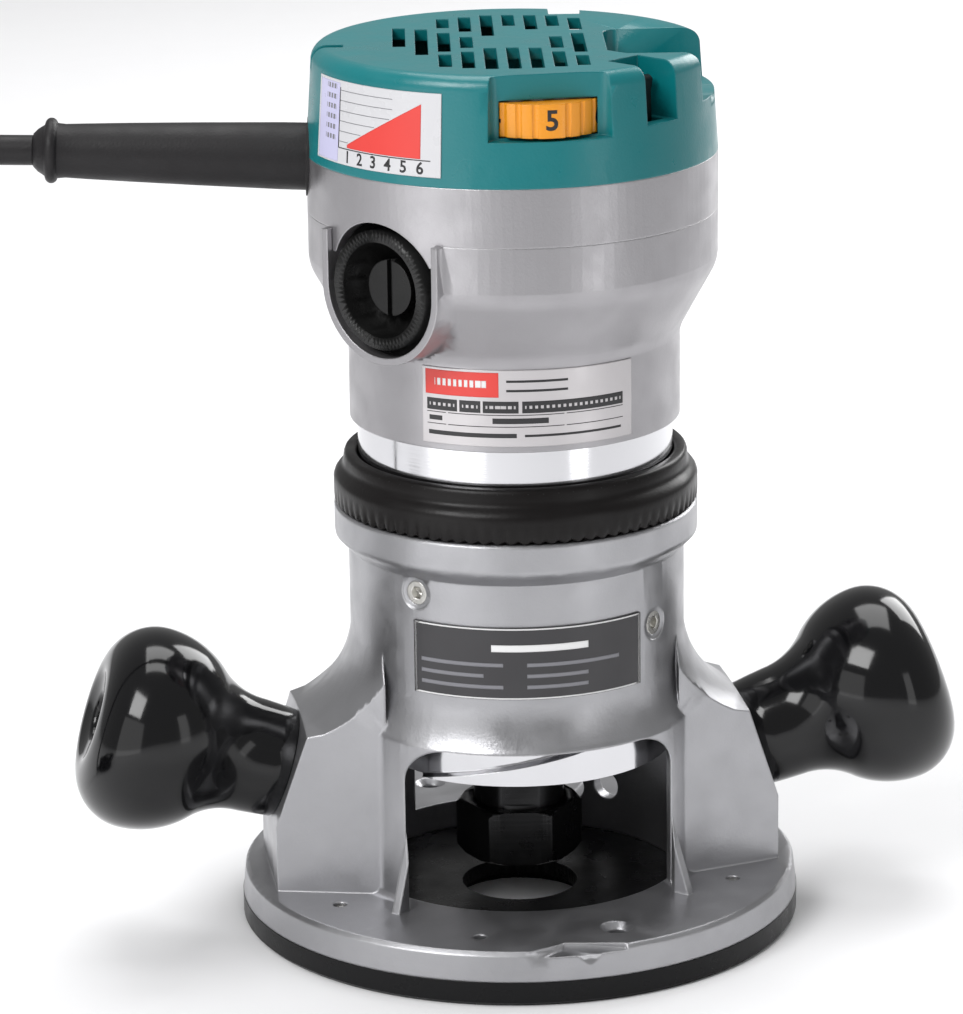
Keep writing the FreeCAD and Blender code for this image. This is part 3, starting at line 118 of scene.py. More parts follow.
def spun(outline: list[tuple[float, float]], steps: int = 96) -> bmesh.types.BMesh:
    """Turn an outline of (radius, height) points in millimetres about Z.

    Args:
        outline: the points, open where both ends lie on the axis and otherwise closed.
        steps: how many faces go round.

    Returns:
        A closed bmesh with its faces pointing out.
    """
    bm = bmesh.new()
    points = [bm.verts.new((radius * MM, 0, height * MM)) for radius, height in outline]
    edges = [bm.edges.new(pair) for pair in zip(points, points[1:])]
    if outline[0][0] > 0:
        edges.append(bm.edges.new((points[-1], points[0])))
    bmesh.ops.spin(bm, geom=points + edges, cent=GROUND, axis=(0, 0, 1),
                   angle=math.tau, steps=steps, use_merge=True, use_duplicate=False)
    bmesh.ops.remove_doubles(bm, verts=bm.verts, dist=2e-6)
    bmesh.ops.recalc_face_normals(bm, faces=bm.faces)
    return bm


def arc(centre: tuple[float, float], radius: float, start: float, end: float,
        steps: int) -> list[tuple[float, float]]:
    """Give points on an arc in an outline, angles in degrees from the radius axis."""
    turns = [math.radians(start + (end - start) * step / steps) for step in range(steps + 1)]
    return [(centre[0] + radius * math.cos(turn), centre[1] + radius * math.sin(turn))
            for turn in turns]


def finish_piece(item: bpy.types.Object, body: str, slot: str, material: bpy.types.Material,
                 *nodes: str) -> bpy.types.Object:
    """Dress a piece, let it ride on a body and hide the nodes that it stands for."""
    item.data.materials.clear()
    item.data.materials.append(material)
    if "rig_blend" not in item:
        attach(item, body)
    if nodes:
        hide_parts(*nodes)
    LOG.info("%s on %s", item.name, body)
    return item


# ------------------------------------------------------------------ finishes
class Grain(Enum):
    """How the fine relief of a surface runs."""

    CAST = "cast"
    MOULDED = "moulded"
    TURNED = "turned"


@dataclass(frozen=True)
class Finish:
    """A surface with colour drift, fine relief and uneven gloss."""

    name: str
    color: tuple[float, float, float]
    roughness: float
    metallic: float = 0.0
    grain: Grain = Grain.MOULDED
    grain_scale: float = 900.0
    relief: float = 0.06
    drift: float = 0.06
    gloss_drift: float = 0.08
    coat: float = 0.0
    shine: float = 0.5
    # colour of the painted highlight mixed in along sharp edges, if any
    edge_highlight: tuple[float, float, float] | None = None
    rounding: float = 0.0004

    def material(self) -> bpy.types.Material:
        """Build the finish's node material, once."""
        label = f"{self.name}_finish"
        found = bpy.data.materials.get(label)
        if found:
            return found
        made = bpy.data.materials.new(label)
        made.use_nodes = True
        tree = made.node_tree
        shader = tree.nodes["Principled BSDF"]
        shader.inputs["Metallic"].default_value = self.metallic
        shader.inputs["Specular IOR Level"].default_value = self.shine
        shader.inputs["Coat Weight"].default_value = self.coat
        shader.inputs["Coat Roughness"].default_value = 0.06
        place = tree.nodes.new("ShaderNodeTexCoord").outputs["Object"]
        tree.links.new(self._color(tree, place), shader.inputs["Base Color"])
        tree.links.new(self._gloss(tree, place), shader.inputs["Roughness"])
        tree.links.new(self._relief(tree, place), shader.inputs["Normal"])
        return made

    def _noise(self, tree: bpy.types.NodeTree, place: bpy.types.NodeSocket, scale: float,
               detail: float) -> bpy.types.NodeSocket:
        """Add a noise over the object's own coordinates and give its value."""
        noise = tree.nodes.new("ShaderNodeTexNoise")
        noise.inputs["Scale"].default_value = scale
        noise.inputs["Detail"].default_value = detail
        tree.links.new(place, noise.inputs["Vector"])
        return noise.outputs["Fac"]

    def _color(self, tree: bpy.types.NodeTree, place: bpy.types.NodeSocket
               ) -> bpy.types.NodeSocket:
        """Let the colour drift over the surface and paint a lighter highlight along sharp edges."""
        mix = tree.nodes.new("ShaderNodeMix")
        mix.data_type = "RGBA"
        low = [channel * (1 - self.drift) for channel in self.color]
        high = [min(channel * (1 + self.drift), 1.0) for channel in self.color]
        mix.inputs["A"].default_value = (*low, 1)
        mix.inputs["B"].default_value = (*high, 1)
        coarse = self._noise(tree, place, 45.0, 6.0)
        tree.links.new(coarse, mix.inputs["Factor"])
        if self.edge_highlight is None:
            return mix.outputs["Result"]
        # Painted highlight: a lighter colour is mixed in where the rounded normal leans away from the true
        # one, that is along sharp edges.
        rounded = tree.nodes.new("ShaderNodeBevel")
        rounded.samples = 4
        rounded.inputs["Radius"].default_value = 0.0005
        compare = tree.nodes.new("ShaderNodeVectorMath")
        compare.operation = "DOT_PRODUCT"
        flat = tree.nodes.new("ShaderNodeNewGeometry").outputs["Normal"]
        tree.links.new(rounded.outputs["Normal"], compare.inputs[0])
        tree.links.new(flat, compare.inputs[1])
        ramp = tree.nodes.new("ShaderNodeMapRange")
        ramp.inputs["From Min"].default_value = 0.97
        ramp.inputs["From Max"].default_value = 0.80
        ramp.inputs["To Max"].default_value = 0.7
        tree.links.new(compare.outputs["Value"], ramp.inputs["Value"])
        highlit_edge = tree.nodes.new("ShaderNodeMix")
        highlit_edge.data_type = "RGBA"
        highlit_edge.inputs["B"].default_value = (*self.edge_highlight, 1)
        tree.links.new(ramp.outputs["Result"], highlit_edge.inputs["Factor"])
        tree.links.new(mix.outputs["Result"], highlit_edge.inputs["A"])
        return highlit_edge.outputs["Result"]

    def _gloss(self, tree: bpy.types.NodeTree, place: bpy.types.NodeSocket
               ) -> bpy.types.NodeSocket:
        """Let the roughness drift round its middle value."""
        ramp = tree.nodes.new("ShaderNodeMapRange")
        ramp.inputs["From Min"].default_value = 0.3
        ramp.inputs["From Max"].default_value = 0.7
        ramp.inputs["To Min"].default_value = max(self.roughness - self.gloss_drift, 0.02)
        ramp.inputs["To Max"].default_value = min(self.roughness + self.gloss_drift, 1.0)
        tree.links.new(self._noise(tree, place, 120.0, 4.0), ramp.inputs["Value"])
        return ramp.outputs["Result"]

    def _relief(self, tree: bpy.types.NodeTree, place: bpy.types.NodeSocket
                ) -> bpy.types.NodeSocket:
        """Add the fine relief on top of softly rounded edges."""
        if self.grain is Grain.TURNED:
            stretch = tree.nodes.new("ShaderNodeMapping")
            stretch.inputs["Scale"].default_value = (0.02, 0.02, 1.0)
            tree.links.new(place, stretch.inputs["Vector"])
            place = stretch.outputs["Vector"]
        bump = tree.nodes.new("ShaderNodeBump")
        bump.inputs["Strength"].default_value = self.relief
        bump.inputs["Distance"].default_value = 0.0004
        detail = 3.0 if self.grain is Grain.CAST else 1.0
        tree.links.new(self._noise(tree, place, self.grain_scale, detail), bump.inputs["Height"])
        rounding = tree.nodes.new("ShaderNodeBevel")
        rounding.samples = 6
        rounding.inputs["Radius"].default_value = self.rounding
        tree.links.new(rounding.outputs["Normal"], bump.inputs["Normal"])
        return bump.outputs["Normal"]


# The lighter edge colours given to the two paints, the teal cover and the black ring are painted highlights
# along their sharp edges.
CAST_PAINT = Finish("cast_paint", (0.38, 0.38, 0.395), 0.36, 0.88, Grain.CAST, 1300, 0.10,
                    0.04, edge_highlight=(0.66, 0.66, 0.67), rounding=0.0008)
HOUSING_PAINT = Finish("housing_paint", (0.37, 0.362, 0.376), 0.36, 0.85, Grain.CAST, 1600,
                       0.09, 0.04, edge_highlight=(0.60, 0.60, 0.61), rounding=0.0005)
POLISHED = Finish("polished_barrel", (0.66, 0.66, 0.68), 0.13, 1.0, Grain.TURNED, 2500, 0.02,
                  0.02, 0.03, rounding=0.0003)
TEAL = Finish("teal_cover", (0.0015, 0.165, 0.180), 0.34, grain_scale=1400, relief=0.09,
              drift=0.05, coat=0.1, edge_highlight=(0.01, 0.20, 0.23), rounding=0.0006)
KNOB_GLOSS = Finish("knob_gloss", (0.0025, 0.0025, 0.003), 0.11, grain_scale=180,
                    relief=0.012, drift=0.2, gloss_drift=0.03, shine=0.42)
SUB_BASE = Finish("sub_base_black", (0.006, 0.006, 0.0065), 0.30, grain_scale=1100, relief=0.06,
                  shine=0.18)
RING_BLACK = Finish("ring_black", (0.007, 0.006, 0.006), 0.36, grain_scale=1200, relief=0.08,
                    edge_highlight=(0.03, 0.026, 0.024), shine=0.2)
AMBER = Finish("dial_amber", (0.80, 0.30, 0.012), 0.32, relief=0.05)
BLACK_PLASTIC = Finish("black_plastic", (0.005, 0.005, 0.005), 0.32, relief=0.07, shine=0.35)
RUBBER = Finish("cord_rubber", (0.013, 0.012, 0.013), 0.52, grain_scale=1500, relief=0.15,
                shine=0.3)
ZINC = Finish("zinc_steel", (0.62, 0.61, 0.58), 0.28, 1.0, relief=0.08)
DARK_STEEL = Finish("dark_steel", (0.035, 0.035, 0.036), 0.32, 0.9, Grain.TURNED, 1800, 0.06)
BRIGHT_STEEL = Finish("bright_steel", (0.75, 0.75, 0.76), 0.18, 1.0, Grain.TURNED, 1800, 0.05)
COPPER = Finish("winding_copper", (0.55, 0.20, 0.07), 0.35, 0.9, grain_scale=500, relief=0.4)
LAMINATED = Finish("laminations", (0.16, 0.16, 0.17), 0.45, 0.8, Grain.TURNED, 2600, 0.2)
CARBON = Finish("carbon", (0.02, 0.02, 0.02), 0.6, relief=0.2)
BOARD = Finish("circuit_board", (0.01, 0.10, 0.05), 0.4, relief=0.1)
PLATE_GREY = Finish("plate_grey", (0.045, 0.044, 0.047), 0.38, 0.3, relief=0.04)
FOIL = Finish("plate_foil", (0.55, 0.53, 0.54), 0.36, 0.4, relief=0.04)
FILM = Finish("label_film", (0.60, 0.60, 0.62), 0.30, relief=0.03, drift=0.02)
INK_LILAC = Finish("ink_lilac", (0.55, 0.54, 0.74), 0.35, relief=0.02)
INK_BLACK = Finish("ink_black", (0.020, 0.020, 0.022), 0.4, relief=0.02)
INK_GREY = Finish("ink_grey", (0.20, 0.20, 0.22), 0.4, relief=0.02)
INK_RED = Finish("ink_red", (0.70, 0.05, 0.04), 0.4, relief=0.02)
INK_WHITE = Finish("ink_white", (0.78, 0.78, 0.78), 0.4, relief=0.02)


# ------------------------------------------------------------------ skins over plain nodes
@dataclass
class Skin:
    """A merged, smoothly shaded copy of a CAD node that stands for it."""

    node: str
    body: str
    finish: Finish
    slot: str
    sharp: float = 28.0

    def build(self) -> bpy.types.Object:
        """Copy the node's mesh, merge it and dress it."""
        bm = bmesh.new()
        bm.from_mesh(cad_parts[self.node].data)
        bmesh.ops.remove_doubles(bm, verts=bm.verts, dist=1e-6)
        self._trim(bm)
        item = new_object(f"{self.node}_skin", bm, self.sharp)
        shading = item.modifiers.new("even_shading", "WEIGHTED_NORMAL")
        shading.keep_sharp = True
        shading.weight = 90
        return finish_piece(item, self.body, self.slot, self.finish.material(), self.node)

    def _trim(self, bm: bmesh.types.BMesh) -> None:
        """Leave the copied mesh as it is; some skins take faces away here."""


@dataclass
class MotorHousing(Skin):
    """The motor housing's skin, without the bare barrel below its paint line."""

    paint_line: float = 134.8 * MM
    radius: float = 40.4 * MM

    def _trim(self, bm: bmesh.types.BMesh) -> None:
        """Take away the barrel's outer faces, which Barrel draws afresh."""
        bare = [face for face in bm.faces
                if all(vert.co.z < self.paint_line + 1e-5
                       and math.hypot(vert.co.x, vert.co.y) > self.radius - 2.7 * MM
                       for vert in face.verts)
                and not self._is_step(face)]
        bmesh.ops.delete(bm, geom=bare, context="FACES")

    def _is_step(self, face: bmesh.types.BMFace) -> bool:
        """Tell whether a face is the level step under the paint."""
        return all(abs(vert.co.z - self.paint_line) < 1e-5 for vert in face.verts)


@dataclass
class Barrel:
    """The bare machined barrel with its two helical grooves, as one fine grid."""

    radius: float = 40.4
    bottom: float = 46.6
    top: float = 134.9
    groove_top: float = 108.0
    lead: float = 46.0
    width: float = 6.8
    depth: float = 2.5
    pin_height: float = 96.5
    around: int = 240
    lip: float = 0.3
    between: tuple[float, ...] = (7.5, 11.5, 15.5)
    turns: int = 12
    turns_below: int = 8

    def _points(self, angle: float) -> list[tuple[float, float]]:
        """Give one column of the grid, its rows keeping their place in the grooves.

        Args:
            angle: degrees from -Y towards +X, in the object's frame.

        Returns:
            The column's (radius, height) points in millimetres, from the bottom up.
        """
        pitch, half = self.lead / 2, self.width / 2
        profile = ((-half - self.lip, 0.0), (-half, self.depth), (0.0, self.depth),
                   (half, self.depth), (half + self.lip, 0.0),
                   *((rise, 0.0) for rise in self.between))
        start = self.pin_height + self.lead * (angle + 45) / 360 - self.turns_below * pitch
        made = []
        for turn in range(self.turns):
            middle = start + turn * pitch
            for rise, depth in profile:
                height = min(max(middle + rise, self.bottom), self.top)
                if middle > self.groove_top:
                    depth = 0.0
                elif height == self.bottom:
                    depth = self._depth_at(self.bottom - start)
                made.append((self.radius - depth, height))
        return [*made, (self.radius, self.top)]

    def _depth_at(self, rise: float) -> float:
        """Give the grooves' depth at a rise above a groove's middle."""
        pitch = self.lead / 2
        distance = abs((rise + pitch / 2) % pitch - pitch / 2)
        share = (self.width / 2 + self.lip - distance) / self.lip
        return self.depth * min(max(share, 0.0), 1.0)

    def build(self) -> None:
        """Lay the grid round the axis and join its seam."""
        bm = bmesh.new()
        columns = []
        for step in range(self.around + 1):
            angle = 360 * step / self.around
            columns.append([bm.verts.new(polar(radius * MM, angle, height * MM))
                            for radius, height in self._points(angle)])
        for left, right in zip(columns, columns[1:]):
            for index in range(len(left) - 1):
                bm.faces.new((left[index], right[index], right[index + 1], left[index + 1]))
        bmesh.ops.remove_doubles(bm, verts=bm.verts, dist=5e-6)
        item = new_object("motor_barrel", bm, 40)
        finish_piece(item, "motor", "housing_paint", POLISHED.material())


# ------------------------------------------------------------------ base pieces
@dataclass
class Knob:
    """A turned side knob with a bulb and a dished end."""

    side: str
    angle: float
    seat_radius: float = 62.1
    seat_height: float = 43.0
    tilt: float = 18.5
    steps: int = 96

    def outline(self) -> list[tuple[float, float]]:
        """Give the knob's outline from its seat round to its dished end."""
        points = [(4.3, 0.0), (13.9, 0.0), (14.3, 0.4), (14.7, 4.5)]
        points += arc((32.9, 9.0), 17.9, 180, 134.0, 10)
        points += arc((1.9, 38.0), 24.6, -40.0, 0, 12)[1:]
        points += arc((12.74, 38.0), 13.76, 0, 88, 14)[1:]
        points += [(11.6, 51.5), (10.6, 50.9), (7.0, 50.4), (6.1, 50.0), (5.8, 49.2), (5.8, 34.0),
                   (4.3, 34.0)]
        return points

    def build(self) -> bpy.types.Object:
        """Turn the knob and set it on its boss."""
        bm = spun(self.outline(), self.steps)
        bm.transform(outward(self.angle, self.seat_radius * MM, self.seat_height * MM, self.tilt))
        item = new_object(f"knob_{self.side}_bulb", bm, 50)
        return finish_piece(item, "base", "knob_black", KNOB_GLOSS.material(),
                            f"knob_{self.side}")


@dataclass
class DepthRing:
    """The depth ring: a scalloped grip below a narrow graduated tier."""

    bore: float = 40.8
    scallops: int = 86
    steps_each: int = 6
    low: float = 112.1
    top: float = 125.5
    depth: float = 0.55

    def build(self) -> None:
        """Build the ring and its graduations."""
        outline = [(self.bore, self.low), (45.6, self.low), (46.3, self.low + 0.15),
                   (46.7, self.low + 0.7), (46.8, self.low + 2.4), (46.8, self.low + 4.4),
                   (46.75, self.low + 5.4)]
        outline += [(46.8, self.low + 6.4), (46.5, self.low + 7.3), (45.9, self.low + 8.1)]
        outline += arc((46.6, self.low + 10.6), 2.3, 250, 180, 5)[1:]
        outline += [(44.1, self.top - 1.2), (43.8, self.top - 0.4), (43.3, self.top),
                    (41.4, self.top), (self.bore, self.top - 0.6)]
        bm = spun(outline, self.scallops * self.steps_each)
        self._scallop(bm)
        item = new_object("depth_ring_grip", bm, 40)
        finish_piece(item, "scale_ring", "ring_black", RING_BLACK.material(), "depth_ring")
        self._graduations()

    def _scallop(self, bm: bmesh.types.BMesh) -> None:
        """Press shallow flutes into the ring's lower edge."""
        for vert in bm.verts:
            radius = math.hypot(vert.co.x, vert.co.y)
            rise = vert.co.z / MM - self.low
            if radius < 45.0 * MM or rise > 5.0:
                continue
            phase = math.atan2(vert.co.y, vert.co.x) * self.scallops / 2
            press = self.depth * abs(math.sin(phase)) ** 4 * max(0.0, 1 - rise / 4.6)
            scale = 1 - press * MM / radius
            vert.co.x *= scale
            vert.co.y *= scale
            vert.co.z += press * 0.7 * MM if rise < 1.0 else 0.0

    def _graduations(self) -> None:
        """Stand one fine line for each graduation on the tier, longer at each fifth."""
        bm = bmesh.new()
        for index in range(72):
            length = 3.0 if index % 5 == 0 else 1.9
            made = bmesh.ops.create_cube(bm, size=MM)["verts"]
            bmesh.ops.scale(bm, vec=(0.28, 0.16, length), verts=made)
            place = (Matrix.Rotation(math.radians(5 * index), 4, "Z")
                     @ Matrix.Translation((0, -43.98 * MM, (self.top - 0.9 - length / 2) * MM)))
            bmesh.ops.transform(bm, matrix=place, verts=made)
        item = new_object("depth_ring_graduations", bm)
        finish_piece(item, "scale_ring", "ring_black", GRADUATION.material())


GRADUATION = Finish("graduation", (0.006, 0.006, 0.006), 0.6, relief=0.02)


# ------------------------------------------------------------------ printed plates
@dataclass
class Print:
    """Flat artwork in millimetres that is wrapped round the axis as thin ink."""

    name: str
    radius: float
    angle: float
    base: float
    body: str
    slot: str
    lean: float = 0.0
    thick: float = 0.05
    inks: dict = field(default_factory=dict)

    def _layer(self, ink: Finish) -> bmesh.types.BMesh:
        """Give the flat mesh that holds one ink's artwork."""
        if ink.name not in self.inks:
            self.inks[ink.name] = (ink, bmesh.new())
        return self.inks[ink.name][1]

    def shape(self, ink: Finish, corners: list[tuple[float, float]]) -> None:
        """Add a polygon and cut it into strips narrow enough to bend."""
        bm = self._layer(ink)
        face = bm.faces.new([bm.verts.new((x, y, 0)) for x, y in corners])
        low, high = min(x for x, _ in corners), max(x for x, _ in corners)
        geometry = [face, *face.edges, *face.verts]
        cuts = int((high - low) / 1.5)
        for index in range(1, cuts + 1):
            at = low + (high - low) * index / (cuts + 1)
            done = bmesh.ops.bisect_plane(bm, geom=geometry, plane_co=(at, 0, 0),
                                          plane_no=(1, 0, 0))
            geometry = done["geom"]

    def bar(self, ink: Finish, x: tuple[float, float], y: tuple[float, float]) -> None:
        """Add a level rectangle between two places along and two heights."""
        self.shape(ink, [(x[0], y[0]), (x[1], y[0]), (x[1], y[1]), (x[0], y[1])])

    def figure(self, ink: Finish, text: str, x: float, y: float, height: float) -> None:
        """Add a generic numeral, centred on a place."""
        curve = bpy.data.curves.new("figure", "FONT")
        curve.body = text
        curve.size = height * 1.38
        curve.align_x = "CENTER"
        curve.align_y = "CENTER"
        curve.resolution_u = 4
        curve.offset = 0.028 * height
        carrier = bpy.data.objects.new("figure", curve)
        mesh = bpy.data.meshes.new_from_object(carrier)
        mesh.transform(Matrix.Translation((x, y, 0)))
        bm = self._layer(ink)
        bm.from_mesh(mesh)
        bpy.data.objects.remove(carrier)
        bpy.data.curves.remove(curve)
        bpy.data.meshes.remove(mesh)

    def build(self) -> None:
        """Wrap every ink round the axis and dress it."""
        for ink, bm in self.inks.values():
            for vert in bm.verts:
                x, y = vert.co.x, vert.co.y
                radius = self.radius - self.lean * y
                turn = self.angle + math.degrees(x / self.radius)
                vert.co = polar(radius * MM, turn, (self.base + y) * MM)
            bmesh.ops.remove_doubles(bm, verts=bm.verts, dist=1e-6)
            for piece in bm.faces:
                middle = piece.calc_center_median()
                if piece.normal.dot(Vector((middle.x, middle.y, 0))) < 0:
                    piece.normal_flip()
            bmesh.ops.solidify(bm, geom=bm.faces, thickness=self.thick * MM)
            bmesh.ops.recalc_face_normals(bm, faces=bm.faces)
            item = new_object(f"{self.name}_{ink.name}", bm)
            finish_piece(item, self.body, self.slot, ink.material())


@dataclass
class Labels:
    """The three printed plates, with generic marks in place of any lettering."""

    chart_width: float = 43.0
    chart_height: float = 20.4

    def build(self) -> None:
        """Print the three plates."""
        self._speed_chart()
        self._rating_plate()
        self._nameplate()

    def _speed_chart(self) -> None:
        """Print the speed chart: an axis, ruled lines, a rising red field and six figures."""
        lean = (51.9 - 50.3) / (226.5 - 203.2)
        radius = 51.9 + 0.30 - lean * (205.6 - 203.2)
        art = Print("chart", radius, -45.25 + MOTOR_TURN, 205.6, "motor", "label_white", lean)
        half = self.chart_width / 2
        axis, foot = 0.25 * self.chart_width - half, 4.1
        low_x, high_x, low_y, high_y = axis + 3.7, half - 4.9, foot + 1.0, 17.6
        art.bar(INK_LILAC, (-half + 0.4, axis - 0.1), (0.4, self.chart_height - 0.6))
        art.bar(INK_BLACK, (axis, axis + 0.25), (foot, self.chart_height - 1.6))
        art.bar(INK_BLACK, (axis, half - 2.2), (foot - 0.25, foot))
        art.shape(INK_RED, [(low_x, foot + 0.2), (high_x, foot + 0.2), (high_x, high_y),
                            (low_x, low_y)])
        for index in range(6):
            level = 5.5 + 2.5 * index
            reach = low_x + (level - low_y) / (high_y - low_y) * (high_x - low_x) - 0.5
            art.bar(INK_GREY, (axis, max(min(reach, axis + 19), axis + 2.2)),
                    (level, level + 0.16))
            art.bar(INK_GREY, (axis - 6.4, axis - 1.4), (level + 0.1, level + 1.3))
        for number in range(1, 7):
            art.figure(INK_BLACK, str(number), low_x + 0.3 + 4.64 * (number - 1), 1.95, 3.0)
        art.build()

    def _rating_plate(self) -> None:
        """Print the rating plate: a red block, a dark table and plain rows."""
        art = Print("rating", 42.3 + 0.34, 3.75 + MOTOR_TURN, 136.4, "motor", "label_silver")
        half = 27.5
        art.bar(INK_RED, (-half + 0.4, -half + 19.6), (12.6, 18.9))
        art.bar(INK_WHITE, (-half + 3.0, -half + 16.5), (15.0, 16.8))
        art.bar(INK_BLACK, (-half + 21.5, -half + 37), (14.0, 14.6))
        art.bar(INK_BLACK, (-half + 21.5, -half + 37), (16.4, 17.0))
        for left, right in ((0.8, 9.0), (9.6, 15.0), (15.6, 24.5), (25.4, 52.6)):
            art.bar(INK_BLACK, (-half + left, -half + right), (8.6, 11.6))
            art.bar(FOIL, (-half + left + 0.7, -half + right - 0.7), (9.7, 10.5))
        for left, right in ((0.8, 6.0), (6.6, 36.0), (36.6, 52.6)):
            art.bar(INK_BLACK, (-half + left, -half + right), (8.0, 8.2))
            art.bar(INK_BLACK, (-half + left, -half + right), (5.0, 5.2))
        art.bar(INK_BLACK, (-half + 1.4, -half + 5.0), (6.0, 7.2))
        art.bar(INK_BLACK, (-half + 18.0, -half + 32.0), (5.9, 7.3))
        art.bar(INK_BLACK, (-half + 1.2, -half + 24), (2.3, 3.4))
        art.bar(INK_BLACK, (-half + 26, -half + 52), (2.5, 3.1))
        art.build()

    def _nameplate(self) -> None:
        """Print the base's plate: a white border and blocks of plain rows."""
        art = Print("nameplate", 43.3 + 0.66, -4.6, 70.9, "base", "label_grey")
        half, top = 31.0, 18.8
        for low, high in ((0.1, 0.5), (top - 0.5, top - 0.1)):
            art.bar(INK_WHITE, (-half + 0.1, half - 0.1), (low, high))
        for side in (-1, 1):
            left, right = sorted((side * (half - 0.1), side * (half - 0.5)))
            art.bar(INK_WHITE, (left, right), (0.5, top - 0.5))
        art.bar(INK_WHITE, (-10, 15), (12.6, 14.4))
        for index in range(3):
            level = 8.6 - 2.9 * index
            art.bar(INK_GREY, (-half + 2, -half + 24 - 5 * (index % 2)), (level, level + 1.0))
            art.bar(INK_GREY, (-1, 24 - 9 * (index > 0)), (level, level + 1.0))
        art.build()


@dataclass
class DialFigures:
    """The six figures round the speed dial."""

    centre: float = 35.3
    angle: float = 9.5
    radius: float = 15.7
    middle: float = 219.45

    def build(self) -> None:
        """Wrap the figures round the wheel, the fifth facing out."""
        art = Print("dial", self.radius + 0.06, 0, self.middle, "dial", "dial_amber")
        for number in range(1, 7):
            art.figure(INK_BLACK, str(number),
                       math.radians(54 * (number - 5)) * self.radius, 0, 5.0)
        for _, bm in art.inks.values():
            LOG.info("dial figures have %d faces", len(bm.faces))
        art.build()
        item = bpy.data.objects["dial_ink_black"]
        place = (Matrix.Rotation(math.radians(MOTOR_TURN + self.angle), 4, "Z")
                 @ Matrix.Translation((0, -self.centre * MM, 0)))
        item.data.transform(place)


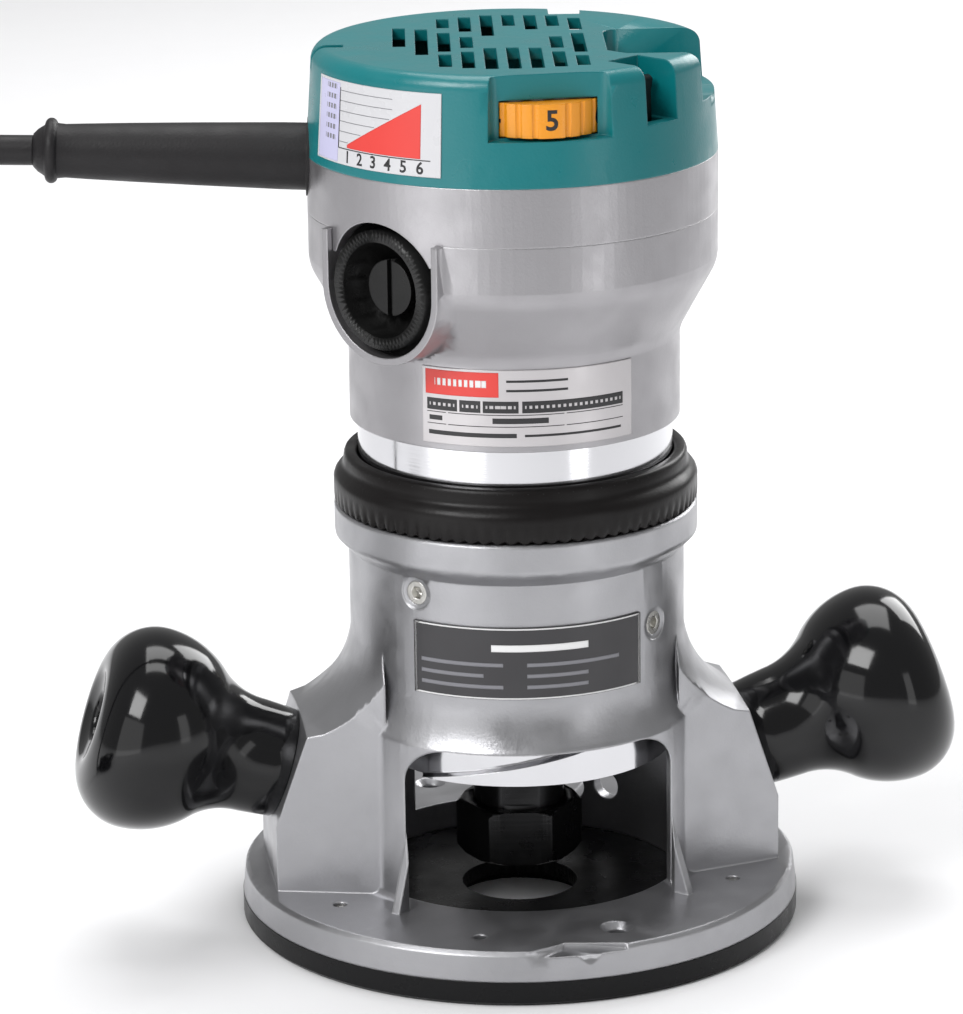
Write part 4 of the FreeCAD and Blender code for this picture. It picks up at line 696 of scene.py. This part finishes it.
# ------------------------------------------------------------------ cord
@dataclass
class CordSet:
    """The power cord from its guard to its coil and plug."""

    radius: float = 3.8
    coil_centre: tuple[float, float] = (-302.6, -11.2)
    coil_start: float = 83.0
    floor: float = 4.8
    plug_angle: float = -90.0
    tie_angle: float = 20.0
    route: tuple[tuple[float, float, float], ...] = (
        (-119.4, 15.7, 204.3), (-145.7, 19.3, 205.3), (-176.4, 23.8, 197.0),
        (-197.2, 27.2, 172.0), (-205.1, 29.4, 138.0), (-207.1, 30.8, 103.0),
        (-207.6, 31.0, 70.0), (-212.0, 30.2, 42.0), (-226.0, 30.6, 20.0),
        (-246.8, 32.6, 7.5), (-269.6, 35.4, 3.9),
    )

    def _winding(self, turn: float) -> tuple[float, float]:
        """Give the winding's radius and height, in millimetres, after a turn in degrees."""
        pitch = 2 * self.radius
        outer, middle, inner = 49.6, 42.0, 34.4
        radius_steps = ((360, outer, middle), (720, middle, inner), (1170, inner, middle),
                        (1530, middle, outer), (2010, outer, middle), (2370, middle, inner))
        height_steps = ((900, 0.0, pitch), (1710, pitch, 2 * pitch))
        radius, height = outer, 0.0
        for at, before, after in radius_steps:
            radius = self._step(turn, at, before, after, radius)
        for at, before, after in height_steps:
            height = self._step(turn, at, before, after, height)
        return radius, self.floor + height

    @staticmethod
    def _step(turn: float, at: float, before: float, after: float, now: float) -> float:
        """Ease from one value to the next within thirty degrees of a turn."""
        if turn < at - 30:
            return now
        share = min((turn - at + 30) / 60, 1.0)
        share = share * share * (3 - 2 * share)
        return before + (after - before) * share

    def _coil_point(self, turn: float, radius: float, height: float) -> Vector:
        """Give a point of the coil from its turn in degrees, its radius and its height."""
        angle = math.radians(self.coil_start + turn)
        return Vector((self.coil_centre[0] + radius * math.cos(angle),
                       self.coil_centre[1] + radius * math.sin(angle), height)) * MM

    def points(self) -> list[Vector]:
        """Give the cord's control points: the listed route, the turns and the plug's lead."""
        made = [Vector(point) * MM for point in self.route]
        end = 2557
        for turn in range(0, end, 24):
            made.append(self._coil_point(turn, *self._winding(turn)))
        for past, radius, height in ((10, 34.4, 21.6), (30, 34.8, 25.2), (52, 36.6, 28.8),
                                     (75, 40.2, 31.6), (98, 44.0, 32.6)):
            made.append(self._coil_point(end + past, radius, height))
        plug = self._plug_place()
        made.append(plug @ Vector((0, -30 * MM, 32.6 * MM)))
        made.append(plug @ Vector((0, -24.5 * MM, 32.6 * MM)))
        return made

    def _plug_place(self) -> Matrix:
        """Give the plug's frame: its blades along +Y, its middle over the coil's turns."""
        turn = Matrix.Rotation(math.radians(self.plug_angle), 4, "Z")
        centre = Vector((*self.coil_centre, 0)) * MM
        return Matrix.Translation(centre) @ turn @ Matrix.Translation((42.0 * MM, 0, 0))

    def _curve(self) -> bpy.types.Object:
        """Lay the control points as one NURBS spline."""
        curve = bpy.data.curves.new("power_cord_line", "CURVE")
        curve.dimensions = "3D"
        curve.resolution_u = 6
        spline = curve.splines.new("NURBS")
        points = self.points()
        spline.points.add(len(points) - 1)
        for point, place in zip(spline.points, points):
            point.co = (*place, 1)
        spline.order_u = 3
        spline.use_endpoint_u = True
        return bpy.data.objects.new("power_cord_line", curve)

    def build(self) -> None:
        carrier = self._curve()
        line = bpy.data.meshes.new_from_object(carrier)
        carrier.data.bevel_depth = self.radius * MM
        carrier.data.bevel_resolution = 5
        carrier.data.use_fill_caps = True
        mesh = bpy.data.meshes.new_from_object(carrier)
        bm = bmesh.new()
        bm.from_mesh(mesh)
        bmesh.ops.remove_doubles(bm, verts=bm.verts, dist=1e-6)
        bmesh.ops.recalc_face_normals(bm, faces=bm.faces)
        cord = new_object("power_cord_lead", bm, 60)
        bpy.data.objects.remove(carrier)
        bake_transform(cord, "scale_ring", "motor", start=(0, 0, 0.045), end=(0, 0, 0.195))
        finish_piece(cord, "motor", "cord_rubber", RUBBER.material(), "power_cord", "cord_coil")
        guard, tie, plug = self._guard(), self._tie(), self._plug()

    def _guard(self) -> bpy.types.Object:
        """Turn the cord guard with its rounded end collar."""
        outline = [(0, 4.2), (9.9, 4.2), (9.9, 5.8), (8.5, 5.8), (8.45, 12), (8.2, 22), (7.9, 34),
                   (7.4, 50), (6.95, 62), (6.75, 66.3)]
        outline += arc((6.7, 69.9), 1.55, -80, 80, 8)
        outline += [(6.4, 71.6), (5.4, 73.2), (4.2, 74.4), (0, 74.45)]
        bm = spun(outline, 48)
        bm.transform(outward(-90 + MOTOR_TURN, 46 * MM, 201.4 * MM, 2.25))
        item = new_object("cord_guard_sleeve", bm, 50)
        return finish_piece(item, "motor", "cord_rubber", RUBBER.material(), "cord_guard")

    def _tie(self) -> bpy.types.Object:
        """Bend a flat tie round the coil's turns."""
        bm = bmesh.new()
        made = bmesh.ops.create_cube(bm, size=MM)["verts"]
        bmesh.ops.scale(bm, vec=(24.6, 8.0, 24.4), verts=made)
        ends = [face for face in bm.faces if abs(face.normal.y) > 0.9]
        bmesh.ops.delete(bm, geom=ends, context="FACES")
        bmesh.ops.bevel(bm, geom=[edge for edge in bm.edges if len(edge.link_faces) == 2],
                        offset=2.2 * MM, segments=5, profile=0.5, affect="EDGES", material=-1)
        bmesh.ops.recalc_face_normals(bm, faces=bm.faces)
        bmesh.ops.solidify(bm, geom=bm.faces, thickness=0.55 * MM)
        centre = Vector((*self.coil_centre, 0)) * MM
        bm.transform(Matrix.Translation(centre)
                     @ Matrix.Rotation(math.radians(self.tie_angle), 4, "Z")
                     @ Matrix.Translation((42.0 * MM, 0, 12.4 * MM)))
        item = new_object("cord_tie_band", bm)
        return finish_piece(item, "scale_ring", "black_plastic", BLACK_PLASTIC.material(),
                            "cord_tie")

    def _plug(self) -> bpy.types.Object:
        """Shape the plug: a waisted moulded body with a tapered tail."""
        bm = bmesh.new()
        made = bmesh.ops.create_cube(bm, size=MM)["verts"]
        bmesh.ops.scale(bm, vec=(26, 36, 17), verts=made)
        bmesh.ops.translate(bm, vec=(0, 9 * MM, 32.6 * MM), verts=made)
        back = [face for face in bm.faces if face.normal.y < -0.9]
        for length, width, height in ((6, 0.62, 0.80), (9, 0.66, 0.78)):
            grown = bmesh.ops.extrude_discrete_faces(bm, faces=back)["faces"]
            corners = list({vert for face in grown for vert in face.verts})
            bmesh.ops.translate(bm, vec=(0, -length * MM, 0), verts=corners)
            middle = Matrix.Translation((0, 0, 32.6 * MM))
            bmesh.ops.scale(bm, vec=(width, 1, height), verts=corners, space=middle.inverted())
            back = grown
        bmesh.ops.bevel(bm, geom=list(bm.edges), offset=1.6 * MM, segments=4, profile=0.5,
                        affect="EDGES", clamp_overlap=True, material=-1)
        bmesh.ops.recalc_face_normals(bm, faces=bm.faces)
        bm.transform(self._plug_place())
        item = new_object("plug_moulding", bm, 60)
        return finish_piece(item, "scale_ring", "cord_rubber", RUBBER.material(), "plug_body")


# ------------------------------------------------------------------ studio
@dataclass(frozen=True)
class Softbox:
    """A rectangular light that faces the object from an angle, a reach and a height."""

    name: str
    angle: float
    reach: float
    height: float
    size: tuple[float, float]
    power: float
    aim: float = 0.1


@dataclass
class Studio:
    """The pale floor, soft lights and camera."""

    camera_place: tuple[float, float, float] = (-0.1741, -1.0990, 0.4297)
    aim: tuple[float, float, float] = (0.0, 0.0, 0.1)
    roll: float = -0.60
    lens: float = 159.3
    shift: tuple[float, float] = (-0.0343, 0.0319)
    boxes: tuple[Softbox, ...] = (
        Softbox("key", -50.0, 1.5, 1.45, (1.0, 0.8), 25.0),
        Softbox("top", 170.0, 0.5, 1.9, (1.3, 1.3), 22.0),
        Softbox("rim", 135.0, 1.5, 0.9, (0.8, 1.0), 14.0),
        Softbox("left_card", -51.0, 0.46, 0.14, (0.36, 0.26), 0.30, 0.14),
        Softbox("right_card", 36.0, 0.46, 0.14, (0.11, 0.26), 0.12, 0.14),
    )

    def camera(self) -> None:
        """Set the camera at the viewing angle of the object."""
        data = bpy.data.cameras.new("camera")
        data.lens = self.lens
        data.sensor_width = 36.0
        data.shift_x, data.shift_y = self.shift
        data.clip_end = 20.0
        item = bpy.data.objects.new("camera", data)
        bpy.context.scene.collection.objects.link(item)
        look = Vector(self.aim) - Vector(self.camera_place)
        turn = look.to_track_quat("-Z", "Y").to_matrix().to_4x4()
        item.matrix_world = (Matrix.Translation(self.camera_place) @ turn
                             @ Matrix.Rotation(math.radians(self.roll), 4, "Z"))
        bpy.context.scene.camera = item

    def floor(self) -> None:
        """Lay a plain pale floor."""
        bm = bmesh.new()
        bmesh.ops.create_grid(bm, x_segments=1, y_segments=1, size=6.0)
        item = new_object("floor", bm)
        item.data.materials.append(
            Finish("floor_pale", (0.86, 0.86, 0.87), 0.75, relief=0.0, drift=0.01,
                   rounding=0.0).material())

    def lights(self) -> None:
        """Hang broad soft lights and a pale surrounding."""
        world = bpy.data.worlds.new("surround")
        world.use_nodes = True
        world.node_tree.nodes["Background"].inputs["Color"].default_value = (1, 1, 1, 1)
        world.node_tree.nodes["Background"].inputs["Strength"].default_value = 0.34
        bpy.context.scene.world = world
        bpy.context.scene.view_settings.view_transform = "Standard"
        for light in self.boxes:
            data = bpy.data.lights.new(light.name, "AREA")
            data.shape = "RECTANGLE"
            data.size, data.size_y = light.size
            data.energy = light.power
            item = bpy.data.objects.new(light.name, data)
            bpy.context.scene.collection.objects.link(item)
            place = polar(light.reach, light.angle, light.height)
            turn = (Vector((0, 0, light.aim)) - place).to_track_quat("-Z", "Y")
            item.matrix_world = Matrix.Translation(place) @ turn.to_matrix().to_4x4()


SKINS = (
    Skin("base_casting", "base", CAST_PAINT, "cast_aluminium", 14),
    Skin("sub_base", "base", SUB_BASE, "sub_base_black"),
    Skin("sub_base_screws", "base", ZINC, "zinc_steel"),
    Skin("guide_pins", "base", ZINC, "zinc_steel"),
    Skin("knob_bolts", "base", ZINC, "zinc_steel"),
    Skin("clamp_bolt", "base", ZINC, "zinc_steel"),
    Skin("clamp_washer", "base", ZINC, "zinc_steel"),
    Skin("base_nameplate", "base", PLATE_GREY, "label_grey"),
    Skin("lock_lever", "clamp_lever", BLACK_PLASTIC, "black_plastic"),
    MotorHousing("motor_housing", "motor", HOUSING_PAINT, "housing_paint", 16),
    Skin("housing_ring", "motor", HOUSING_PAINT, "housing_paint"),
    Skin("top_cover", "motor", TEAL, "cover_teal", 16),
    Skin("brush_holders", "motor", BLACK_PLASTIC, "black_plastic"),
    Skin("brush_caps", "motor", BLACK_PLASTIC, "black_plastic"),
    Skin("rating_plate", "motor", FOIL, "label_silver"),
    Skin("speed_chart_label", "motor", FILM, "label_white"),
    Skin("power_switch", "motor", BLACK_PLASTIC, "black_plastic"),
    Skin("speed_dial", "dial", AMBER, "dial_amber"),
    Skin("switch_lever", "toggle", BLACK_PLASTIC, "black_plastic"),
    Skin("spindle", "rotor", DARK_STEEL, "dark_steel"),
    Skin("collet_cone", "rotor", DARK_STEEL, "dark_steel"),
    Skin("collet_nut", "nut", DARK_STEEL, "dark_steel"),
)

PLAIN_NODES = {
    "housing_screws": ZINC, "speed_potentiometer": BLACK_PLASTIC, "speed_controller": BOARD,
    "carbon_brushes": CARBON, "brush_springs": ZINC, "stator_core": LAMINATED,
    "stator_windings": COPPER, "armature_core": LAMINATED, "armature_windings": COPPER,
    "commutator": COPPER, "lower_bearing": BRIGHT_STEEL, "upper_bearing": BRIGHT_STEEL,
    "cooling_fan": BLACK_PLASTIC, "fan_baffle": BLACK_PLASTIC, "cord_clamp": BLACK_PLASTIC,
    "plug_blades": BRIGHT_STEEL,
}


def dress_plain_nodes() -> None:
    """Give the nodes that stay as they are their finishes."""
    for node, finish in PLAIN_NODES.items():
        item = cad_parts[node]
        item.data.materials.clear()
        item.data.materials.append(finish.material())


def main() -> None:
    """Build the studio, then the object's pieces in order."""
    logging.basicConfig(level=logging.INFO, format="%(message)s")
    studio = Studio()
    studio.camera()
    CordSet().build()
    for skin in SKINS:
        skin.build()
    dress_plain_nodes()
    for side, angle in (("left", -90.0), ("right", 90.0)):
        Knob(side, angle).build()
    Barrel().build()
    DepthRing().build()
    Labels().build()
    DialFigures().build()
    studio.floor()
    studio.lights()


if __name__ == "__main__":
    main()
